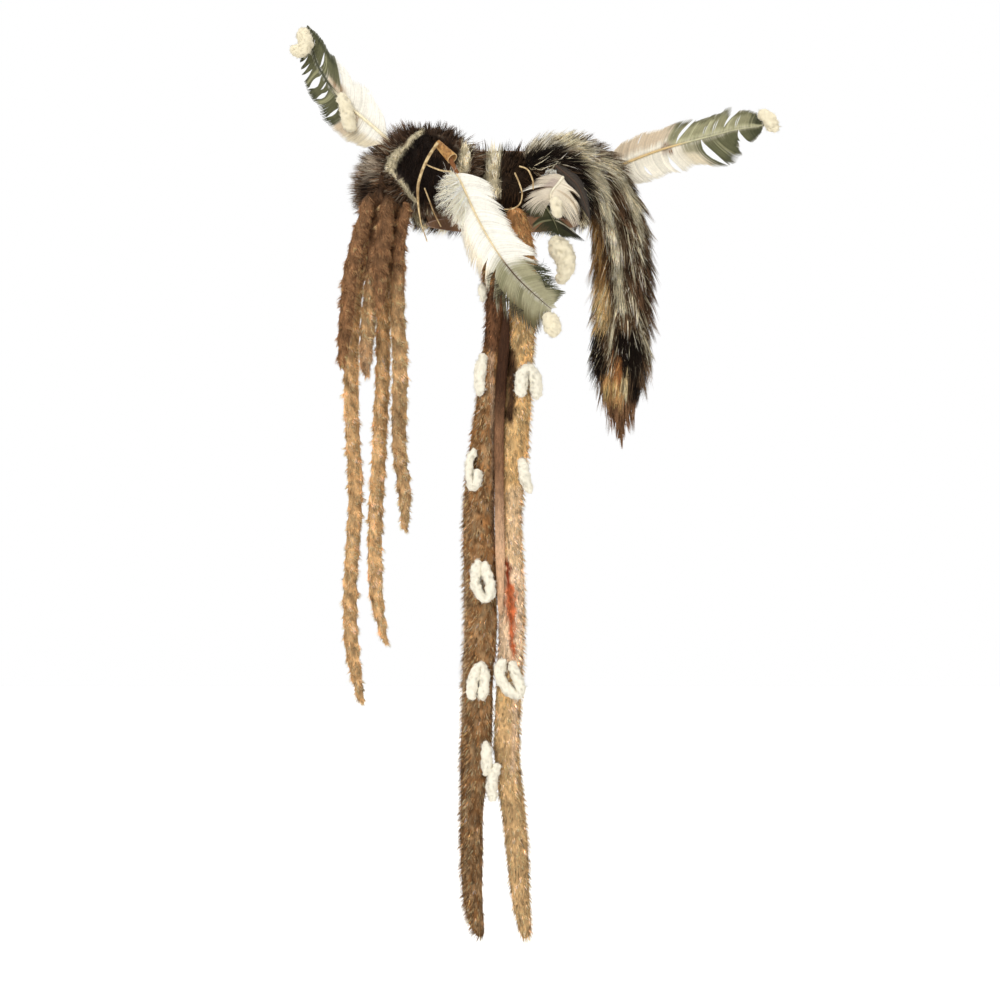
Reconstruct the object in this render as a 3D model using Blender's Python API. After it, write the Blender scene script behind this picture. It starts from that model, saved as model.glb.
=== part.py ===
"""Feathered headdress: a fur band on a hide ring, a hanging pelt, twisted fur drops, two long
fur strips, feathers, wool ties and thongs. Metres, +Z up. The origin is the centre of the head
opening, at half the height of the ring. The tables are in millimetres, and -Y is the side on
which the strips hang.
"""

from collections import namedtuple
from math import cos, pi, sin, tau

import bmesh
import bpy
import numpy as np
from mathutils import Matrix, Vector
from mathutils.bvhtree import BVHTree

MM = 0.001

# Driving dimensions, in mm.
OPENING_HALF_X = 84  # a head of about 575 mm round
OPENING_HALF_Y = 98
HIDE_WALL = 3
HIDE_HALF_HEIGHT = 36
HIDE_EDGE = 1  # how much the ring's edges are rounded
CLEARANCE = 0.4  # between the ring and the fur round it
RING_COLUMNS = 48

BAND_FUR_DEPTH = 15  # from the ring to the outside of the fur, without its lock tips
BAND_FUR_HALF_HEIGHT = 39
BAND_RISE = 2  # how much higher the fur is than the ring
BAND_LOCK = 5
BAND_LEAN = 4
BAND_SECTION_POINTS = 8

FEATHER_THICKNESS = 0.9
FEATHER_STATIONS = 11
BARB_SWEEP = 0.5  # how far barbs lean to the tip for each mm of their length
VANE_FALL = 0.06  # how far a vane falls back for each mm of its width
SHAFT_AT_BASE = 1.8  # half widths of a shaft
SHAFT_AT_TIP = 0.6
LEAST_VANE = 0.6  # the narrowest vane beside a shaft

WOOL_SIDES = 6
WOOL_SPACING = 9
WOOL_THIN, WOOL_THICK = 0.95, 1.02  # a roving's lumps, as shares of its radius
WOOL_END = 0.6  # how far a roving's end stands out, as a share of its radius

THONG_SPACING = 6
THONG_CLEARANCE = 1.9
CAST_LEAD = 80  # how far before a thong its rays start

TOUCH = 0.6  # the gap that a piece keeps to what it rests on
TOUCH_SLACK = 0.05
REST_STEPS = 40
EDGE_SAMPLES = (0.0, 0.25, 0.5, 0.75)

TOWARDS_VIEW = Vector((0, -1, 0))
BACKWARDS = Vector((0, 1, 0))
UP = Vector((0, 0, 1))
TOWARDS_RIGHT = Vector((1, 0, 0))
TOWARDS_LEFT = Vector((-1, 0, 0))

# Tables. Bend is a section of a fur piece: its centre, and its half sizes across and in depth.
# Quill is a station on a feather's shaft, with the width of its two vanes. Split is a notch in
# one vane: its place along the shaft, its share of the vane's width, and half of its opening.
# Strand is a point on a wool roving or a thong.
Bend = namedtuple("Bend", "x y z half_width half_depth")
Quill = namedtuple("Quill", "x y z left right")
Split = namedtuple("Split", "side at depth half_gap")
Strand = namedtuple("Strand", "x y z radius")
Finish = namedtuple("Finish", "name colour roughness")
# Hair is how a fur piece is dressed: the distance between its sections, the points round each,
# how far its lock tips stand out and lean on, and how far each section turns from the last.
Hair = namedtuple("Hair", "spacing sides lock lean turn")

DARK_FUR = Finish("dark_fur", (0.03, 0.018, 0.01), 0.75)
STRIPED_FUR = Finish("striped_fur", (0.16, 0.12, 0.07), 0.8)
PELT_FUR = Finish("pelt_fur", (0.10, 0.07, 0.04), 0.75)
DROP_FUR = Finish("drop_fur", (0.29, 0.16, 0.08), 0.85)
BROWN_FUR = Finish("brown_fur", (0.19, 0.10, 0.05), 0.85)
STRAW_FUR = Finish("straw_fur", (0.34, 0.21, 0.09), 0.85)
VELVET_HIDE = Finish("velvet_hide", (0.23, 0.12, 0.055), 0.7)
RING_HIDE = Finish("ring_hide", (0.12, 0.07, 0.04), 0.65)
RAWHIDE = Finish("rawhide", (0.33, 0.17, 0.05), 0.5)
THREAD = Finish("thread", (0.25, 0.11, 0.04), 0.7)
WHITE_FEATHER = Finish("white_feather", (0.86, 0.84, 0.76), 0.6)
OLIVE_FEATHER = Finish("olive_feather", (0.08, 0.075, 0.035), 0.6)
GREY_FEATHER = Finish("grey_feather", (0.12, 0.10, 0.08), 0.6)
CREAM_WOOL = Finish("cream_wool", (0.85, 0.78, 0.6), 0.95)
WHITE_WOOL = Finish("white_wool", (0.9, 0.88, 0.78), 0.95)
THONG = Finish("thong", (0.6, 0.42, 0.2), 0.6)

FOLD_HAIR = Hair(spacing=11, sides=16, lock=4.5, lean=5, turn=0)
PELT_HAIR = Hair(spacing=14, sides=14, lock=4.5, lean=10, turn=0)
DROP_HAIR = Hair(spacing=12.5, sides=8, lock=2, lean=5, turn=0.45)
STRIP_HAIR = Hair(spacing=16, sides=10, lock=1.6, lean=7, turn=0)
SMOOTH_HIDE = Hair(spacing=30, sides=8, lock=0, lean=0, turn=0)

LEFT_FOLD = (
    Bend(-34, -136, 5, 25, 9),
    Bend(-55, -132, 11, 42, 17),
    Bend(-80, -119, 15, 45, 21),
    Bend(-106, -91, 18, 40, 23),
    Bend(-124, -58, 10, 35, 25),
    Bend(-137, -20, 1, 33, 24),
    Bend(-133, 10, -2, 25, 17),
)

RIGHT_PELT = (
    Bend(20, -133, 18, 16, 8),
    Bend(47, -129, 27, 23, 14),
    Bend(80, -110, 26, 28, 16),
    Bend(108, -92, 9, 30, 17),
    Bend(127, -78, -24, 30, 17),
    Bend(134, -72, -66, 31, 16),
    Bend(136, -68, -110, 31, 15),
    Bend(135, -66, -165, 31, 15),
    Bend(134, -67, -193, 33, 14),
    Bend(134, -69, -215, 26, 12),
    Bend(133, -70, -238, 16, 9),
    Bend(132, -71, -262, 10, 6),
    Bend(134, -72, -287, 3.5, 3),
)

DROPS = (
    (
        Bend(-143, -70, -34, 7, 6),
        Bend(-154, -66, -75, 9.5, 8),
        Bend(-164, -66, -130, 9.5, 8),
        Bend(-169, -67, -205, 10, 8.5),
        Bend(-168, -70, -290, 9.5, 8),
        Bend(-164, -72, -363, 9.5, 8),
        Bend(-170, -72, -463, 9, 8),
        Bend(-168, -72, -535, 9, 7.5),
        Bend(-157, -72, -597, 3, 3),
    ),
    (
        Bend(-145, -124, -10, 7, 6),
        Bend(-153, -120, -45, 9, 8),
        Bend(-166, -118, -90, 9, 8),
        Bend(-172, -116, -150, 9.5, 8.5),
        Bend(-178, -116, -209, 3.5, 3.5),
    ),
    (
        Bend(-126, -125, -12, 7, 6),
        Bend(-128, -131, -45, 9.5, 8),
        Bend(-134, -130, -90, 10.5, 9),
        Bend(-134, -128, -144, 4, 4),
    ),
    (
        Bend(-133, -108, -22, 6, 5),
        Bend(-137, -106, -70, 9, 7.5),
        Bend(-146, -105, -165, 9.5, 8),
        Bend(-151, -104, -222, 9, 8),
        Bend(-151, -104, -255, 3, 3),
    ),
    (
        Bend(-116, -103, -36, 6, 5),
        Bend(-123, -93, -80, 9, 7.5),
        Bend(-131, -86, -135, 9.5, 8),
        Bend(-133, -84, -220, 9.5, 8),
        Bend(-137, -84, -308, 9.5, 8),
        Bend(-142, -84, -412, 9.5, 8),
        Bend(-140, -84, -473, 8.5, 7),
        Bend(-130, -84, -529, 2.5, 2.5),
    ),
    (
        Bend(-105, -126, -22, 6.5, 5.5),
        Bend(-113, -119, -60, 9, 7.5),
        Bend(-116, -113, -120, 9.5, 8),
        Bend(-113, -110, -210, 10, 8.5),
        Bend(-114, -108, -295, 9.5, 8),
        Bend(-108, -108, -350, 7.5, 6.5),
        Bend(-107, -108, -390, 2.5, 2.5),
    ),
)

STRIP_LEFT = (
    Bend(-16, -131, -30, 8, 6),
    Bend(-14, -130, -75, 9, 7),
    Bend(-6, -128, -139, 9.5, 8),
    Bend(-10, -127, -187, 8, 8),
    Bend(-17.5, -126, -251, 10, 8.5),
    Bend(-21.5, -125, -300, 14, 9),
    Bend(-25, -124, -350, 16, 9.5),
    Bend(-24, -124, -450, 17.5, 9.5),
    Bend(-23.5, -124, -500, 17.5, 9.5),
    Bend(-27, -124, -550, 16, 9),
    Bend(-27.5, -124, -600, 16, 9),
    Bend(-29, -124, -640, 16, 9),
    Bend(-32, -124, -670, 12, 8.5),
    Bend(-33.5, -124, -750, 10.5, 8),
    Bend(-32, -124, -795, 8, 7),
    Bend(-29, -124, -820, 6, 6),
    Bend(-23, -124, -834, 2, 2),
)

STRIP_RIGHT = (
    Bend(13, -131, -30, 11, 6),
    Bend(23, -130, -80, 12, 8),
    Bend(23, -128, -139, 14, 8),
    Bend(20.5, -127, -187, 13, 8),
    Bend(16, -126, -251, 14.5, 8),
    Bend(13.5, -125, -300, 14, 8),
    Bend(9.5, -124, -370, 10, 7.5),
    Bend(11, -124, -450, 12.5, 8),
    Bend(10.5, -124, -500, 13, 8),
    Bend(7, -124, -570, 12.5, 8),
    Bend(5.5, -124, -645, 12.5, 8),
    Bend(13.5, -124, -700, 11, 8),
    Bend(17.5, -124, -750, 10, 7.5),
    Bend(21.5, -124, -800, 7, 6),
    Bend(25, -124, -820, 5.5, 5),
    Bend(26, -124, -836, 2.5, 2.5),
)

HIDE_FOLD = (
    Bend(5, -144, -143, 4, 2.5),
    Bend(2, -140, -187, 7, 4),
    Bend(-3, -138, -251, 6, 4),
    Bend(-3, -137.5, -330, 5.5, 3.5),
    Bend(-2, -137.5, -430, 5.5, 3.5),
    Bend(-1.5, -137.5, -480, 3, 2.5),
)

FEATHER_UPPER_LEFT = (
    Quill(-125, -98, 47, 1.5, 1.5),
    Quill(-136.5, -94, 58, 17, 14),
    Quill(-152, -90, 71.5, 26, 28),
    Quill(-169, -86, 86, 27, 27),
    Quill(-187, -82, 105, 25, 25),
    Quill(-199, -80, 122, 21, 21),
    Quill(-207, -78, 136, 16, 18),
    Quill(-213, -77, 157, 8, 11),
    Quill(-218, -76, 180, 1, 1),
)

FEATHER_RIGHT = (
    Quill(114, -56, 16, 1.5, 1.5),
    Quill(130, -56, 22.5, 17, 22),
    Quill(153, -56, 32, 22, 29),
    Quill(179, -56, 41.5, 22, 32),
    Quill(200, -57, 47.5, 23, 32),
    Quill(219, -57, 52.5, 22, 34),
    Quill(240.5, -57, 58, 22, 35),
    Quill(262, -58, 63.5, 20, 24),
    Quill(285.5, -58, 67, 10, 14),
    Quill(294, -58, 69, 2, 2),
)

FEATHER_HANGING = (
    Quill(-47, -163, 2, 2, 5),
    Quill(-39, -164, -23, 24, 31),
    Quill(-20, -165, -60, 30, 30),
    Quill(1, -164, -94, 34, 34),
    Quill(22, -163, -117, 32, 33),
    Quill(40, -161, -131, 24, 20),
    Quill(50, -160, -140, 10, 8),
    Quill(56, -160, -145, 1, 1),
)

FEATHER_PALE = (
    Quill(66, -152, 6, 2, 2),
    Quill(61, -158, -4, 20, 12),
    Quill(56, -162, -14, 27, 26),
    Quill(51, -163, -26, 22, 34),
    Quill(50, -162, -36, 8, 20),
    Quill(50, -161, -42, 1, 1),
)

FEATHER_OLIVE = (
    Quill(38, -150, -18, 1.5, 1.5),
    Quill(44, -154, -28, 10, 12),
    Quill(53, -156, -41, 17, 17),
    Quill(64, -154, -52, 16, 13),
    Quill(78, -150, -61, 9, 7),
    Quill(91, -146, -69, 1, 1),
)

FEATHER_GREY = (
    Quill(52, -148, 16, 1.5, 1.5),
    Quill(66, -145, 13, 7, 6),
    Quill(82, -140, -2, 9, 9),
    Quill(92, -134, -22, 8, 8),
    Quill(98, -130, -44, 1, 1),
)

FEATHER_SPLITS = {
    "feather_upper_left": (
        Split("left", 0.36, 0.75, 0.02),
        Split("left", 0.55, 0.6, 0.015),
        Split("left", 0.65, 0.8, 0.02),
        Split("left", 0.74, 0.6, 0.015),
    ),
    "feather_right": (
        Split("left", 0.25, 0.35, 0.015),
        Split("left", 0.43, 0.7, 0.025),
        Split("left", 0.73, 0.6, 0.015),
        Split("right", 0.35, 0.45, 0.015),
        Split("right", 0.66, 0.8, 0.025),
        Split("right", 0.84, 0.75, 0.03),
    ),
    "feather_hanging": (
        Split("left", 0.45, 0.45, 0.02),
        Split("left", 0.62, 0.4, 0.02),
        Split("left", 0.78, 0.4, 0.02),
        Split("right", 0.6, 0.5, 0.025),
    ),
    "feather_pale": (
        Split("right", 0.45, 0.4, 0.03),
        Split("right", 0.62, 0.45, 0.03),
    ),
    "feather_olive": (Split("right", 0.55, 0.5, 0.03),),
    "feather_grey": (),
}

SOCKET_BACK = Vector((-71.5, -160, 37))
SOCKET_MOUTH = Vector((-52, -161, 18))
SOCKET_RADIUS = 6
SOCKET_WALL = 1.1
SOCKET_BORE_DEPTH = 14
SOCKET_ROUNDING = 1.5
SOCKET_WAIST = 0.4
SOCKET_LIP = 1
SOCKET_SIDES = 12
WRAP_START = Vector((-54.9, -161, 20.8))
WRAP_END = Vector((-47.5, -162.5, 4))
WRAP_RADIUS = 2.6
WRAP_GROOVE = 0.35
WRAP_TURNS = 6
WRAP_SIDES = 8

WOOL = {
    "wool_tuft_left": (
        Strand(-224, -92, 173, 5),
        Strand(-220, -92, 163, 8),
        Strand(-217, -93, 151, 9),
        Strand(-227, -93, 147, 7),
        Strand(-234, -93, 152, 4),
    ),
    "wool_wad": (
        Strand(-180, -99, 99, 4),
        Strand(-174, -100, 87, 6),
        Strand(-172, -101, 73, 7),
        Strand(-167, -102, 60, 6),
    ),
    "wool_tuft_right": (
        Strand(291, -59, 82, 6),
        Strand(299, -59, 79, 8),
        Strand(305, -59, 70, 6),
        Strand(307, -59, 63, 3.5),
    ),
    "wool_tuft_hanging": (
        Strand(50, -158, -154, 6),
        Strand(55, -158, -162, 9),
        Strand(57, -158, -174, 7),
    ),
    "wool_puff": (
        Strand(57, -174, -65, 5),
        Strand(61, -174, -71, 12.5),
        Strand(67, -174, -79, 15),
        Strand(72, -174, -89, 11.5),
        Strand(71, -174, -99, 7.5),
        Strand(64, -174, -110, 3.5),
    ),
    "wool_fluff": (
        Strand(57, -172, -24, 4),
        Strand(61, -172, -33, 6),
        Strand(60, -172, -42, 4),
    ),
}

TIES = (
    (
        Strand(-24, -128, -192, 3.5),
        Strand(-28, -129, -205, 5),
        Strand(-29, -129, -222, 5),
        Strand(-28, -129, -236, 3),
    ),
    (
        Strand(21, -147, -237, 5),
        Strand(20.5, -147, -224, 7),
        Strand(22, -148, -211, 6.5),
        Strand(29, -148, -203.5, 6),
        Strand(36, -147, -211, 6.5),
        Strand(37.5, -145, -224, 7),
        Strand(38, -144, -239, 5),
    ),
    (
        Strand(-30, -144, -298, 3),
        Strand(-36.5, -143, -306, 3),
        Strand(-38, -142, -318, 3),
        Strand(-34, -142, -328, 3.6),
        Strand(-37, -142, -339, 4.6),
        Strand(-29, -142, -342, 4.6),
        Strand(-26.5, -143, -332, 4.6),
        Strand(-27.5, -144, -319, 4.8),
    ),
    (
        Strand(22, -140, -308, 4),
        Strand(24, -139, -321, 5.2),
        Strand(26, -138, -333, 4.5),
        Strand(31, -137, -342, 3),
    ),
    (
        Strand(-25, -145, -419, 3.5),
        Strand(-29.5, -144, -430, 4.3),
        Strand(-31, -144, -441, 4.6),
        Strand(-27, -145, -452, 5),
        Strand(-22, -145, -460, 4.6),
        Strand(-17, -145, -465.5, 4),
        Strand(-12.5, -146, -460, 4.4),
        Strand(-10.3, -147, -451, 4.4),
        Strand(-14, -147, -441, 5.2),
        Strand(-17.5, -147, -431, 4.8),
        Strand(-19.5, -146, -421, 3.4),
    ),
    (
        Strand(-33, -144, -570, 5),
        Strand(-33.5, -145, -557, 5.5),
        Strand(-29.5, -145, -543, 5),
        Strand(-27, -145, -533, 3.8),
        Strand(-22.5, -145, -528.5, 3),
        Strand(-18.8, -145, -539, 4.2),
        Strand(-18.3, -145, -549, 4.6),
        Strand(-20.5, -145, -560, 4.6),
        Strand(-22.5, -144, -571, 4.4),
    ),
    (
        Strand(3, -143, -529, 3.8),
        Strand(-3.5, -143, -533.5, 4.8),
        Strand(-5, -143, -543, 5.2),
        Strand(-1, -143, -552.5, 5.2),
        Strand(6, -143, -560, 5),
        Strand(13.5, -143, -568, 5),
        Strand(19.5, -143, -571, 4.2),
        Strand(22.5, -143, -562, 4.8),
        Strand(18.5, -143, -552, 5),
        Strand(14.5, -143, -542, 5),
        Strand(9.5, -143, -531, 4.2),
    ),
    (
        Strand(-18, -145, -619, 2.2),
        Strand(-17.5, -146, -631, 4),
        Strand(-15.3, -146, -643, 5.8),
        Strand(-17.5, -145, -654, 3.4),
    ),
    (
        Strand(-5, -150, -643, 2.4),
        Strand(-9, -149, -653, 3.4),
        Strand(-12.5, -147, -664, 6),
        Strand(-11.5, -146, -673, 5.3),
        Strand(-9, -145, -682, 3.4),
    ),
    (
        Strand(-22, -147, -116, 3),
        Strand(-21, -147, -123, 4),
        Strand(-19, -147, -131, 3),
    ),
)

# What each piece of wool rests on, and the way that it slides there.
STRIPS = ["fur_strip_left", "fur_strip_right", "hide_fold"]
WOOL_RESTS = (
    ("wool_tuft_left", ["feather_upper_left"], BACKWARDS),
    ("wool_wad", ["feather_upper_left"], BACKWARDS),
    ("wool_tuft_right", ["feather_right"], TOWARDS_LEFT),
    ("wool_tuft_hanging", ["feather_hanging"], UP),
    ("wool_puff", ["feather_olive", "right_pelt", "fur_strip_right"], BACKWARDS),
    ("wool_fluff", ["feather_pale"], BACKWARDS),
    ("wool_tie_1", STRIPS, TOWARDS_RIGHT),
    ("wool_tie_2", STRIPS, BACKWARDS),
    ("wool_tie_3", STRIPS, BACKWARDS),
    ("wool_tie_4", STRIPS, BACKWARDS),
    ("wool_tie_5", STRIPS, BACKWARDS),
    ("wool_tie_6", STRIPS, BACKWARDS),
    ("wool_tie_7", STRIPS, BACKWARDS),
    ("wool_tie_8", STRIPS, BACKWARDS),
    ("wool_tie_9", [*STRIPS, "wool_tie_8"], BACKWARDS),
    ("wool_tie_10", STRIPS, BACKWARDS),
)

THONGS = {
    "thong_long": (
        Strand(-70, -169, 36, 1.7),
        Strand(-79, -161, 24, 1.8),
        Strand(-88, -152, 6, 1.6),
        Strand(-92, -148, -9, 1.7),
        Strand(-92, -146, -24, 1.3),
        Strand(-89, -146, -47, 0.7),
        Strand(-82, -147, -69, 0.6),
    ),
    "thong_pair": (
        Strand(-55, -167, 6, 0.9),
        Strand(-64, -164, 7, 1.0),
        Strand(-73, -161, 10, 0.9),
        Strand(-85, -156, 16, 0.7),
    ),
    "thong_string": (
        Strand(-85, -164, -10, 0.8),
        Strand(-81, -162, -20, 0.8),
        Strand(-75, -161, -36, 0.7),
        Strand(-67, -160, -52, 0.7),
    ),
    "thong_right": (
        Strand(14, -150, 6, 0.9),
        Strand(19, -152, -6, 0.9),
        Strand(22, -154, -18, 0.8),
        Strand(19, -154, -29, 0.8),
        Strand(10, -152, -34, 0.8),
        Strand(2, -150, -34, 0.7),
    ),
    "thong_knot": (
        Strand(19, -150, 14, 0.9),
        Strand(27, -152, 11, 0.9),
        Strand(33, -155, 0, 0.9),
        Strand(34, -168, -13, 0.8),
    ),
}

THONG_HOSTS = {
    "thong_long": ["left_fold", "socket_tube"],
    "thong_pair": ["left_fold", "quill_wrap"],
    "thong_string": ["left_fold"],
    "thong_right": ["band_fur", "right_pelt", "fur_strip_right", "feather_pale"],
    "thong_knot": ["band_fur", "right_pelt", "feather_pale"],
}


def clear_scene():
    for item in list(bpy.data.objects):
        bpy.data.objects.remove(item, do_unlink=True)


def material(finish):
    made = bpy.data.materials.get(finish.name)
    if made:
        return made
    made = bpy.data.materials.new(finish.name)
    made.use_nodes = True
    shader = made.node_tree.nodes["Principled BSDF"]
    shader.inputs["Base Color"].default_value = (*finish.colour, 1)
    shader.inputs["Roughness"].default_value = finish.roughness
    shader.inputs["Metallic"].default_value = 0
    return made


def between(table, spacing):
    """Rows about `spacing` mm apart on a smooth curve through the table's rows."""
    length = distances_along(table)[-1]
    count = max(3, round(length / spacing) + 1)
    return rows_at(table, np.linspace(0, 1, count))


def distances_along(table):
    steps = np.linalg.norm(np.diff(np.array(table, float)[:, :3], axis=0), axis=1)
    return np.concatenate([[0.0], np.cumsum(steps)])


def rows_at(table, shares):
    """Rows at these shares of the length of the smooth curve through the table's rows."""
    rows = np.array(table, float)
    along = distances_along(table)
    slopes = np.gradient(rows, along, axis=0)
    found = []
    for share in shares:
        place = share * along[-1]
        i = min(int(np.searchsorted(along, place, side="right")) - 1, len(along) - 2)
        step = along[i + 1] - along[i]
        u = (place - along[i]) / step
        row = (
            (2 * u**3 - 3 * u**2 + 1) * rows[i]
            + (u**3 - 2 * u**2 + u) * step * slopes[i]
            + (3 * u**2 - 2 * u**3) * rows[i + 1]
            + (u**3 - u**2) * step * slopes[i + 1]
        )
        found.append(type(table[0])(*row))
    return found


def centres_of(rows):
    return [Vector((row.x, row.y, row.z)) for row in rows]


def tangent_at(centres, i):
    return (centres[min(i + 1, len(centres) - 1)] - centres[max(i - 1, 0)]).normalized()


def solid_from_rings(name, rings, finish, round_trip=False, bulge=0.0):
    """One closed body through rings of points in mm. A round trip joins the last ring to the
    first; otherwise both ends close on a middle point, pushed out by `bulge` mm. The faces'
    diagonals join the points between lock tips, so that each tip stands as a peak."""
    form = bmesh.new()
    loops = [[form.verts.new(Vector(p) * MM) for p in ring] for ring in rings]
    pairs = list(zip(loops, loops[1:]))
    if round_trip:
        pairs.append((loops[-1], loops[0]))
    for i, (near, far) in enumerate(pairs):
        for j in range(len(near)):
            k = (j + 1) % len(near)
            if (i + j) % 2:
                form.faces.new((near[j], near[k], far[j]))
                form.faces.new((near[k], far[k], far[j]))
            else:
                form.faces.new((near[j], near[k], far[k]))
                form.faces.new((near[j], far[k], far[j]))
    if not round_trip:
        for end, inner in ((0, 1), (-1, -2)):
            middle = mean(rings[end])
            outward = (middle - mean(rings[inner])).normalized()
            tip = form.verts.new((middle + outward * bulge) * MM)
            for j in range(len(loops[end])):
                form.faces.new((loops[end][j], loops[end][(j + 1) % len(loops[end])], tip))
    bmesh.ops.recalc_face_normals(form, faces=form.faces)
    mesh = bpy.data.meshes.new(name)
    form.to_mesh(mesh)
    form.free()
    mesh.materials.append(material(finish))
    mesh.shade_smooth()
    made = bpy.data.objects.new(name, mesh)
    bpy.context.collection.objects.link(made)
    return made


def mean(points):
    return sum((Vector(p) for p in points), Vector()) / len(points)


def on_ring(offset, angle, z):
    """A point `offset` mm outside the head opening. Angle 0 is at -Y, a quarter turn at +X."""
    x = (OPENING_HALF_X + offset) * sin(angle)
    y = -(OPENING_HALF_Y + offset) * cos(angle)
    return Vector((x, y, z))


def away_from_ring(centre):
    """The level direction that faces out of the band at this place."""
    return Vector(
        (centre.x / OPENING_HALF_X**2, centre.y / OPENING_HALF_Y**2, 0)
    ).normalized()


def towards_view(_centre):
    return TOWARDS_VIEW


def surface_of(names):
    """Points along the edges of the named pieces, and one search tree over their faces."""
    points, faces, samples = [], [], []
    for name in names:
        mesh = bpy.data.objects[name].data
        first = len(points)
        points += [vertex.co.copy() for vertex in mesh.vertices]
        faces += [[first + v for v in face.vertices] for face in mesh.polygons]
        for edge in mesh.edges:
            start, end = (mesh.vertices[v].co for v in edge.vertices)
            samples += [start.lerp(end, share) for share in EDGE_SAMPLES]
    return samples, BVHTree.FromPolygons(points, faces)


def rest(moving, hosts, way):
    """Slide pieces together along `way` until one of them lies TOUCH mm off its hosts."""
    host_points, host_tree = surface_of(hosts)
    for _ in range(REST_STEPS):
        own_points, own_tree = surface_of(moving)
        apart = min(host_tree.find_nearest(point)[3] for point in own_points)
        apart = min(apart, *(own_tree.find_nearest(point)[3] for point in host_points))
        if apart < (TOUCH + TOUCH_SLACK) * MM:
            return
        step = Matrix.Translation(way * (apart - TOUCH * MM))
        for name in moving:
            bpy.data.objects[name].data.transform(step)


def laid(rows, hosts):
    """A thong's rows, moved back together until one of them lies on what is behind it."""
    _, tree = surface_of(hosts)
    room = []
    for row in rows:
        start = Vector((row.x, row.y - CAST_LEAD, row.z)) * MM
        distance = tree.ray_cast(start, BACKWARDS)[3]
        if distance:
            room.append(distance / MM - CAST_LEAD - row.radius - THONG_CLEARANCE)
    return [row._replace(y=row.y + min(room)) for row in rows]


def build_ring():
    """The hide ring: a wall of even thickness with its four edges rounded."""
    low, high = -HIDE_HALF_HEIGHT, HIDE_HALF_HEIGHT
    section = (
        (0, low),
        (HIDE_WALL, low),
        (HIDE_WALL, high - HIDE_EDGE),
        (HIDE_WALL - HIDE_EDGE, high),
        (HIDE_EDGE, high),
        (0, high - HIDE_EDGE),
    )
    rings = [
        [on_ring(offset, tau * i / RING_COLUMNS, z) for offset, z in section]
        for i in range(RING_COLUMNS)
    ]
    solid_from_rings("headband_hide", rings, RING_HIDE, round_trip=True)


def build_band_fur():
    """Fur round the ring: a flat inner wall, and a round outside with rows of lock tips."""
    inner = HIDE_WALL + CLEARANCE
    rings = []
    for i in range(RING_COLUMNS):
        angle = tau * i / RING_COLUMNS
        ring = [
            on_ring(inner, angle, -HIDE_HALF_HEIGHT),
            on_ring(inner, angle, HIDE_HALF_HEIGHT - HIDE_EDGE),
        ]
        for k in range(BAND_SECTION_POINTS):
            turn = pi / 2 - pi * (k + 0.5) / BAND_SECTION_POINTS
            tip = (i + k) % 2
            offset = inner + BAND_FUR_DEPTH * cos(turn) ** 0.5 + BAND_LOCK * tip
            z = BAND_RISE + BAND_FUR_HALF_HEIGHT * sin(turn) - BAND_LEAN * tip
            ring.append(on_ring(offset, angle, z))
        rings.append(ring)
    solid_from_rings("band_fur", rings, STRIPED_FUR, round_trip=True)


def build_fur(name, bends, finish, hair, facing=towards_view):
    """Fur on a core: every other point of each section is a lock's tip."""
    rows = between(bends, hair.spacing)
    centres = centres_of(rows)
    rings = []
    for i, row in enumerate(rows):
        tangent = tangent_at(centres, i)
        side = tangent.cross(facing(centres[i])).normalized()
        front = side.cross(tangent)
        at_end = i in (0, len(rows) - 1)
        ring = []
        for j in range(hair.sides):
            angle = tau * j / hair.sides + hair.turn * i
            reach = side * (row.half_width * cos(angle)) + front * (row.half_depth * sin(angle))
            tip = 0 if at_end else (i + j) % 2
            lock = (reach.normalized() * hair.lock + tangent * hair.lean) * tip
            ring.append(centres[i] + reach + lock)
        rings.append(ring)
    solid_from_rings(name, rings, finish, bulge=rows[-1].half_depth)


def build_feather(name, quills, finish):
    """A feather as one sheet with a raised shaft. The barbs sweep to the tip, and each split
    narrows its vane to a notch."""
    splits = FEATHER_SPLITS[name]
    places = set(np.linspace(0, 1, FEATHER_STATIONS))
    for split in splits:
        places.update((split.at - split.half_gap, split.at, split.at + split.half_gap))
    places = sorted(places)
    stations = rows_at(quills, places)
    centres = centres_of(stations)
    rings = []
    for i, station in enumerate(stations):
        tangent = tangent_at(centres, i)
        front = TOWARDS_VIEW - tangent * TOWARDS_VIEW.dot(tangent)
        front.normalize()
        right = tangent.cross(front).normalized()
        shaft = SHAFT_AT_BASE + (SHAFT_AT_TIP - SHAFT_AT_BASE) * places[i]
        reach = {}
        for name_of_side, width, way in (("left", station.left, -1), ("right", station.right, 1)):
            for split in splits:
                if split.side == name_of_side and places[i] == split.at:
                    width *= 1 - split.depth
            width = max(width, shaft + LEAST_VANE)
            reach[name_of_side] = (right * way + tangent * BARB_SWEEP) * width
        rings.append(feather_section(centres[i], reach, front, right, shaft))
    solid_from_rings(name, rings, finish, bulge=SHAFT_AT_TIP)


def feather_section(centre, reach, front, right, shaft):
    """Ten points round a feather: both edges, both vanes front and back, and the shaft."""
    half = front * (FEATHER_THICKNESS / 2)
    fall = front * VANE_FALL
    edges = {side: centre + r - fall * r.length for side, r in reach.items()}
    mids = {side: centre + r / 2 - fall * (r.length / 4) for side, r in reach.items()}
    return [
        edges["left"],
        mids["left"] + half,
        centre - right * shaft + half,
        centre + front * shaft,
        centre + right * shaft + half,
        mids["right"] + half,
        edges["right"],
        mids["right"] - half,
        centre - front * (shaft / 2),
        mids["left"] - half,
    ]


def round_section(centre, side, front, radius, sides):
    turns = [tau * j / sides for j in range(sides)]
    return [centre + side * (radius * cos(t)) + front * (radius * sin(t)) for t in turns]


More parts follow.
